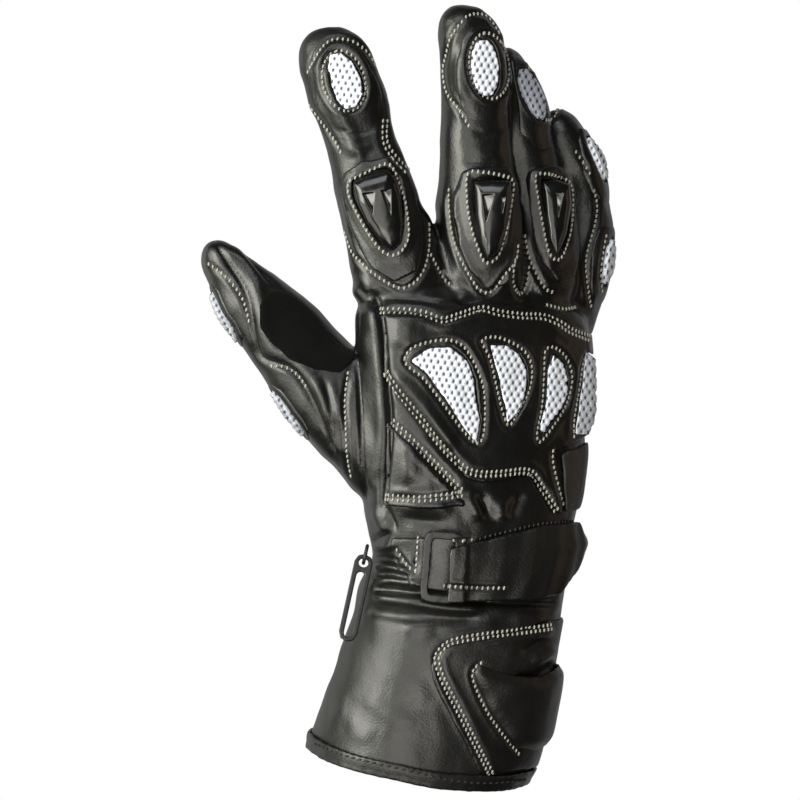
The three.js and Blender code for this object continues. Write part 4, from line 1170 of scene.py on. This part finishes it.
def rows_mesh(name, lines):
    """A mesh of edges along the rows, with the surface's facing stored on each point."""
    corners, edges, facings = [], [], []
    for line in lines:
        for stretch in row_on_surface(line):
            first = len(corners)
            corners += [point for point, _ in stretch]
            facings += [facing for _, facing in stretch]
            edges += [(i, i + 1) for i in range(first, len(corners) - 1)]
    mesh = bpy.data.meshes.new(name)
    mesh.from_pydata(corners, edges, [])
    stored = mesh.attributes.new("facing", "FLOAT_VECTOR", "POINT")
    stored.data.foreach_set("vector", np.array(facings, np.float32).ravel())
    return mesh


# %% The stitch tree
BEAD_SEGMENTS, BEAD_RINGS = 8, 6


def stitch_tree(material):
    """The node tree that lays a short rounded thread at each step along some edges."""
    tree = bpy.data.node_groups.new("stitches", "GeometryNodeTree")
    face = tree.interface
    face.new_socket("Geometry", in_out="INPUT", socket_type="NodeSocketGeometry")
    for title in ("Stitch Spacing", "Thread Length", "Thread Thickness", "Lift"):
        face.new_socket(title, in_out="INPUT", socket_type="NodeSocketFloat")
    face.new_socket("Thread Direction", in_out="INPUT", socket_type="NodeSocketVector")
    face.new_socket("Geometry", in_out="OUTPUT", socket_type="NodeSocketGeometry")
    given = tree.nodes.new("NodeGroupInput").outputs
    curve = add(tree, "GeometryNodeMeshToCurve", {"Mesh": given["Geometry"]})
    spaced = add(tree, "GeometryNodeResampleCurve", {
        "Curve": curve.outputs[0], "Length": given["Stitch Spacing"]}, mode="LENGTH")
    facing = add(tree, "GeometryNodeInputNamedAttribute", {"Name": "facing"}, data_type="FLOAT_VECTOR")
    lift = add(tree, "ShaderNodeVectorMath", {
        0: facing.outputs["Attribute"], "Scale": given["Lift"]}, operation="SCALE")
    lifted = add(tree, "GeometryNodeSetPosition", {
        "Geometry": spaced.outputs[0], "Offset": lift.outputs[0]})
    upright = add(tree, "FunctionNodeAlignRotationToVector", {
        "Vector": facing.outputs["Attribute"]}, axis="Z")
    turned = add(tree, "FunctionNodeAlignRotationToVector", {
        "Rotation": upright.outputs[0], "Vector": given["Thread Direction"]}, axis="X", pivot_axis="Z")
    size = add(tree, "ShaderNodeCombineXYZ", {
        "X": given["Thread Length"], "Y": given["Thread Thickness"], "Z": given["Thread Thickness"]})
    bead = add(tree, "GeometryNodeMeshUVSphere", {
        "Segments": BEAD_SEGMENTS, "Rings": BEAD_RINGS, "Radius": 0.5})
    stitch = add(tree, "GeometryNodeTransform", {
        "Geometry": bead.outputs["Mesh"], "Scale": size.outputs[0]})
    placed = add(tree, "GeometryNodeInstanceOnPoints", {
        "Points": lifted.outputs[0], "Instance": stitch.outputs[0], "Rotation": turned.outputs[0]})
    real = add(tree, "GeometryNodeRealizeInstances", {"Geometry": placed.outputs[0]})
    painted = add(tree, "GeometryNodeSetMaterial", {"Geometry": real.outputs[0], "Material": material})
    result = tree.nodes.new("NodeGroupOutput")
    tree.links.new(painted.outputs[0], result.inputs[0])
    return tree


def sew(name, lines, material, values):
    """Lays stitches along some picture lines, as one plain mesh."""
    piece = show(name, rows_mesh(name, lines))
    modifier = piece.modifiers.new("Stitches", "NODES")
    modifier.node_group = stitch_tree(material)
    for item in modifier.node_group.interface.items_tree:
        if item.in_out == "INPUT" and item.name in values:
            modifier[item.identifier] = values[item.name]
    graph = bpy.context.evaluated_depsgraph_get()
    mesh = bpy.data.meshes.new_from_object(piece.evaluated_get(graph))
    piece.modifiers.clear()
    piece.data = mesh
    finish_piece(piece, material)
    print(name, len(mesh.polygons) // (BEAD_SEGMENTS * BEAD_RINGS), "stitches")


# %% Sew the rows
# Each stitch leans a little to the right of upright, whichever way its row runs. The hem's
# stitches are longer and lie along their row.
ROW_SPACING = 1.55
ROW_OFFSETS = {SINGLE: [0.0], DOUBLE: [-0.5, 0.5]}
THREAD_LEAN = math.radians(15)
STITCH_SIZES = {
    "Stitch Spacing": 1.9 * MM, "Thread Length": 1.6 * MM,
    "Thread Thickness": 0.84 * MM, "Lift": 0.12 * MM,
    "Thread Direction": tuple(UP * math.cos(THREAD_LEAN) + RIGHT * math.sin(THREAD_LEAN)),
}
HEM_SIZES = {
    "Stitch Spacing": 2.6 * MM, "Thread Length": 1.9 * MM,
    "Thread Thickness": 0.84 * MM, "Lift": 0.12 * MM,
    "Thread Direction": tuple(RIGHT),
}


def thread_lines(wanted):
    """The lines of thread of all single or all double rows."""
    lines = []
    for name, (rows, _, _) in STITCH_ROWS.items():
        if rows == wanted:
            for offset in ROW_OFFSETS[rows]:
                lines.append(beside(STITCH_LINES[name], offset * ROW_SPACING * PIXELS_PER_MM))
    return lines


sew("single_stitches", thread_lines(SINGLE), thread, STITCH_SIZES)
sew("double_stitches", thread_lines(DOUBLE), thread, STITCH_SIZES)
# The strap's black row is painted shade on its pale stitches.
sew("strap_stitches_in_painted_shade", [curve_through(STRAP_ROW_IN_PAINTED_SHADE)], black_thread, STITCH_SIZES)
sew("hem_stitches", [curve_through(HEM_ROW)], black_thread, HEM_SIZES)

# %% [markdown]
# ## Studio
#
# The highlights on the leather tell where the light stood: for each bright spot, the direction
# that the surface reflects was worked out and noted as a turn from the camera and a rise above it.
# They gave a wide window to the left with one brighter pane, weaker light near the camera and from
# the floor, and hardly any from the right. The world is the white wall behind the glove: white
# where the camera sees it, dimmer for the light that it throws.

# %% Lights
def area_light(name, direction, distance, size, watts, colour):
    """A rectangular light that faces the glove, turned right of the camera and then raised."""
    data = bpy.data.lights.new(name, "AREA")
    data.shape = "RECTANGLE"
    data.size, data.size_y = size
    data.energy = watts
    data.color = linear(colour)[:3]
    lamp = bpy.data.objects.new(name, data)
    turn, rise = (math.radians(angle) for angle in direction)
    level = BACK * math.cos(turn) + RIGHT * math.sin(turn)
    lamp.location = TARGET + (level * math.cos(rise) + UP * math.sin(rise)) * distance
    aim = Vector(lamp.location) - Vector(TARGET)
    lamp.rotation_euler = aim.to_track_quat("Z", "Y").to_euler()
    bpy.context.scene.collection.objects.link(lamp)


LIGHTS = [
    # name, turn and rise in degrees, distance and size in metres, watts, colour
    ("window", (-56, 16), 1.9, (2.2, 1.7), 50, "#fffff2"),
    ("open_pane", (-48, 12), 1.9, (1.1, 1.4), 34, "#fffff4"),
    ("window_sill", (-60, -22), 1.9, (2.0, 0.8), 14, "#fffff2"),
    ("pane_near_camera", (-1, 3), 2.2, (1.4, 1.6), 18, "#fffdf4"),
    ("floor_bounce", (6, -25), 2.0, (1.4, 0.9), 19, "#fffbf2"),
    ("side_wall", (-122, 4), 1.9, (1.0, 2.0), 4, "#fffff6"),
    ("ceiling", (-4, 50), 1.8, (1.5, 0.7), 12, "#f6fbff"),
    ("room", (94, 4), 1.5, (0.5, 1.2), 1.3, "#e6c4a0"),
]
for light in LIGHTS:
    area_light(*light)
print("lights:", len(LIGHTS))

# %% The white wall
WHITE = linear("#ffffff")
WALL_EDGE, WALL_MIDDLE = 0.25, 0.8
DARK_ROOM, WALL_LIGHT = 0.03, 0.5
world = bpy.data.worlds.new("studio")
bpy.context.scene.world = world
world.use_nodes = True
sky = world.node_tree
sky.nodes.clear()
look = add(sky, "ShaderNodeTexCoord").outputs["Generated"]
behind = add(sky, "ShaderNodeVectorMath", {0: look, 1: tuple(-BACK)}, operation="DOT_PRODUCT")
wall = add(sky, "ShaderNodeMapRange", {
    "Value": behind.outputs["Value"], "From Min": WALL_EDGE, "From Max": WALL_MIDDLE,
    "To Min": DARK_ROOM, "To Max": WALL_LIGHT})
seen = add(sky, "ShaderNodeBackground", {"Color": WHITE, "Strength": 1.0})
dim = add(sky, "ShaderNodeBackground", {"Color": WHITE, "Strength": wall.outputs["Result"]})
path_kind = add(sky, "ShaderNodeLightPath")
mixed = add(sky, "ShaderNodeMixShader", {
    0: path_kind.outputs["Is Camera Ray"], 1: dim.outputs[0], 2: seen.outputs[0]})
sky_out = sky.nodes.new("ShaderNodeOutputWorld")
sky.links.new(mixed.outputs[0], sky_out.inputs["Surface"])
bpy.context.scene.view_settings.view_transform = "Standard"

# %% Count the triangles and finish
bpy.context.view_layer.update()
meshes = [piece.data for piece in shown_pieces() if piece.type == "MESH"]
print("triangles:", sum(len(face.vertices) - 2 for mesh in meshes for face in mesh.polygons))
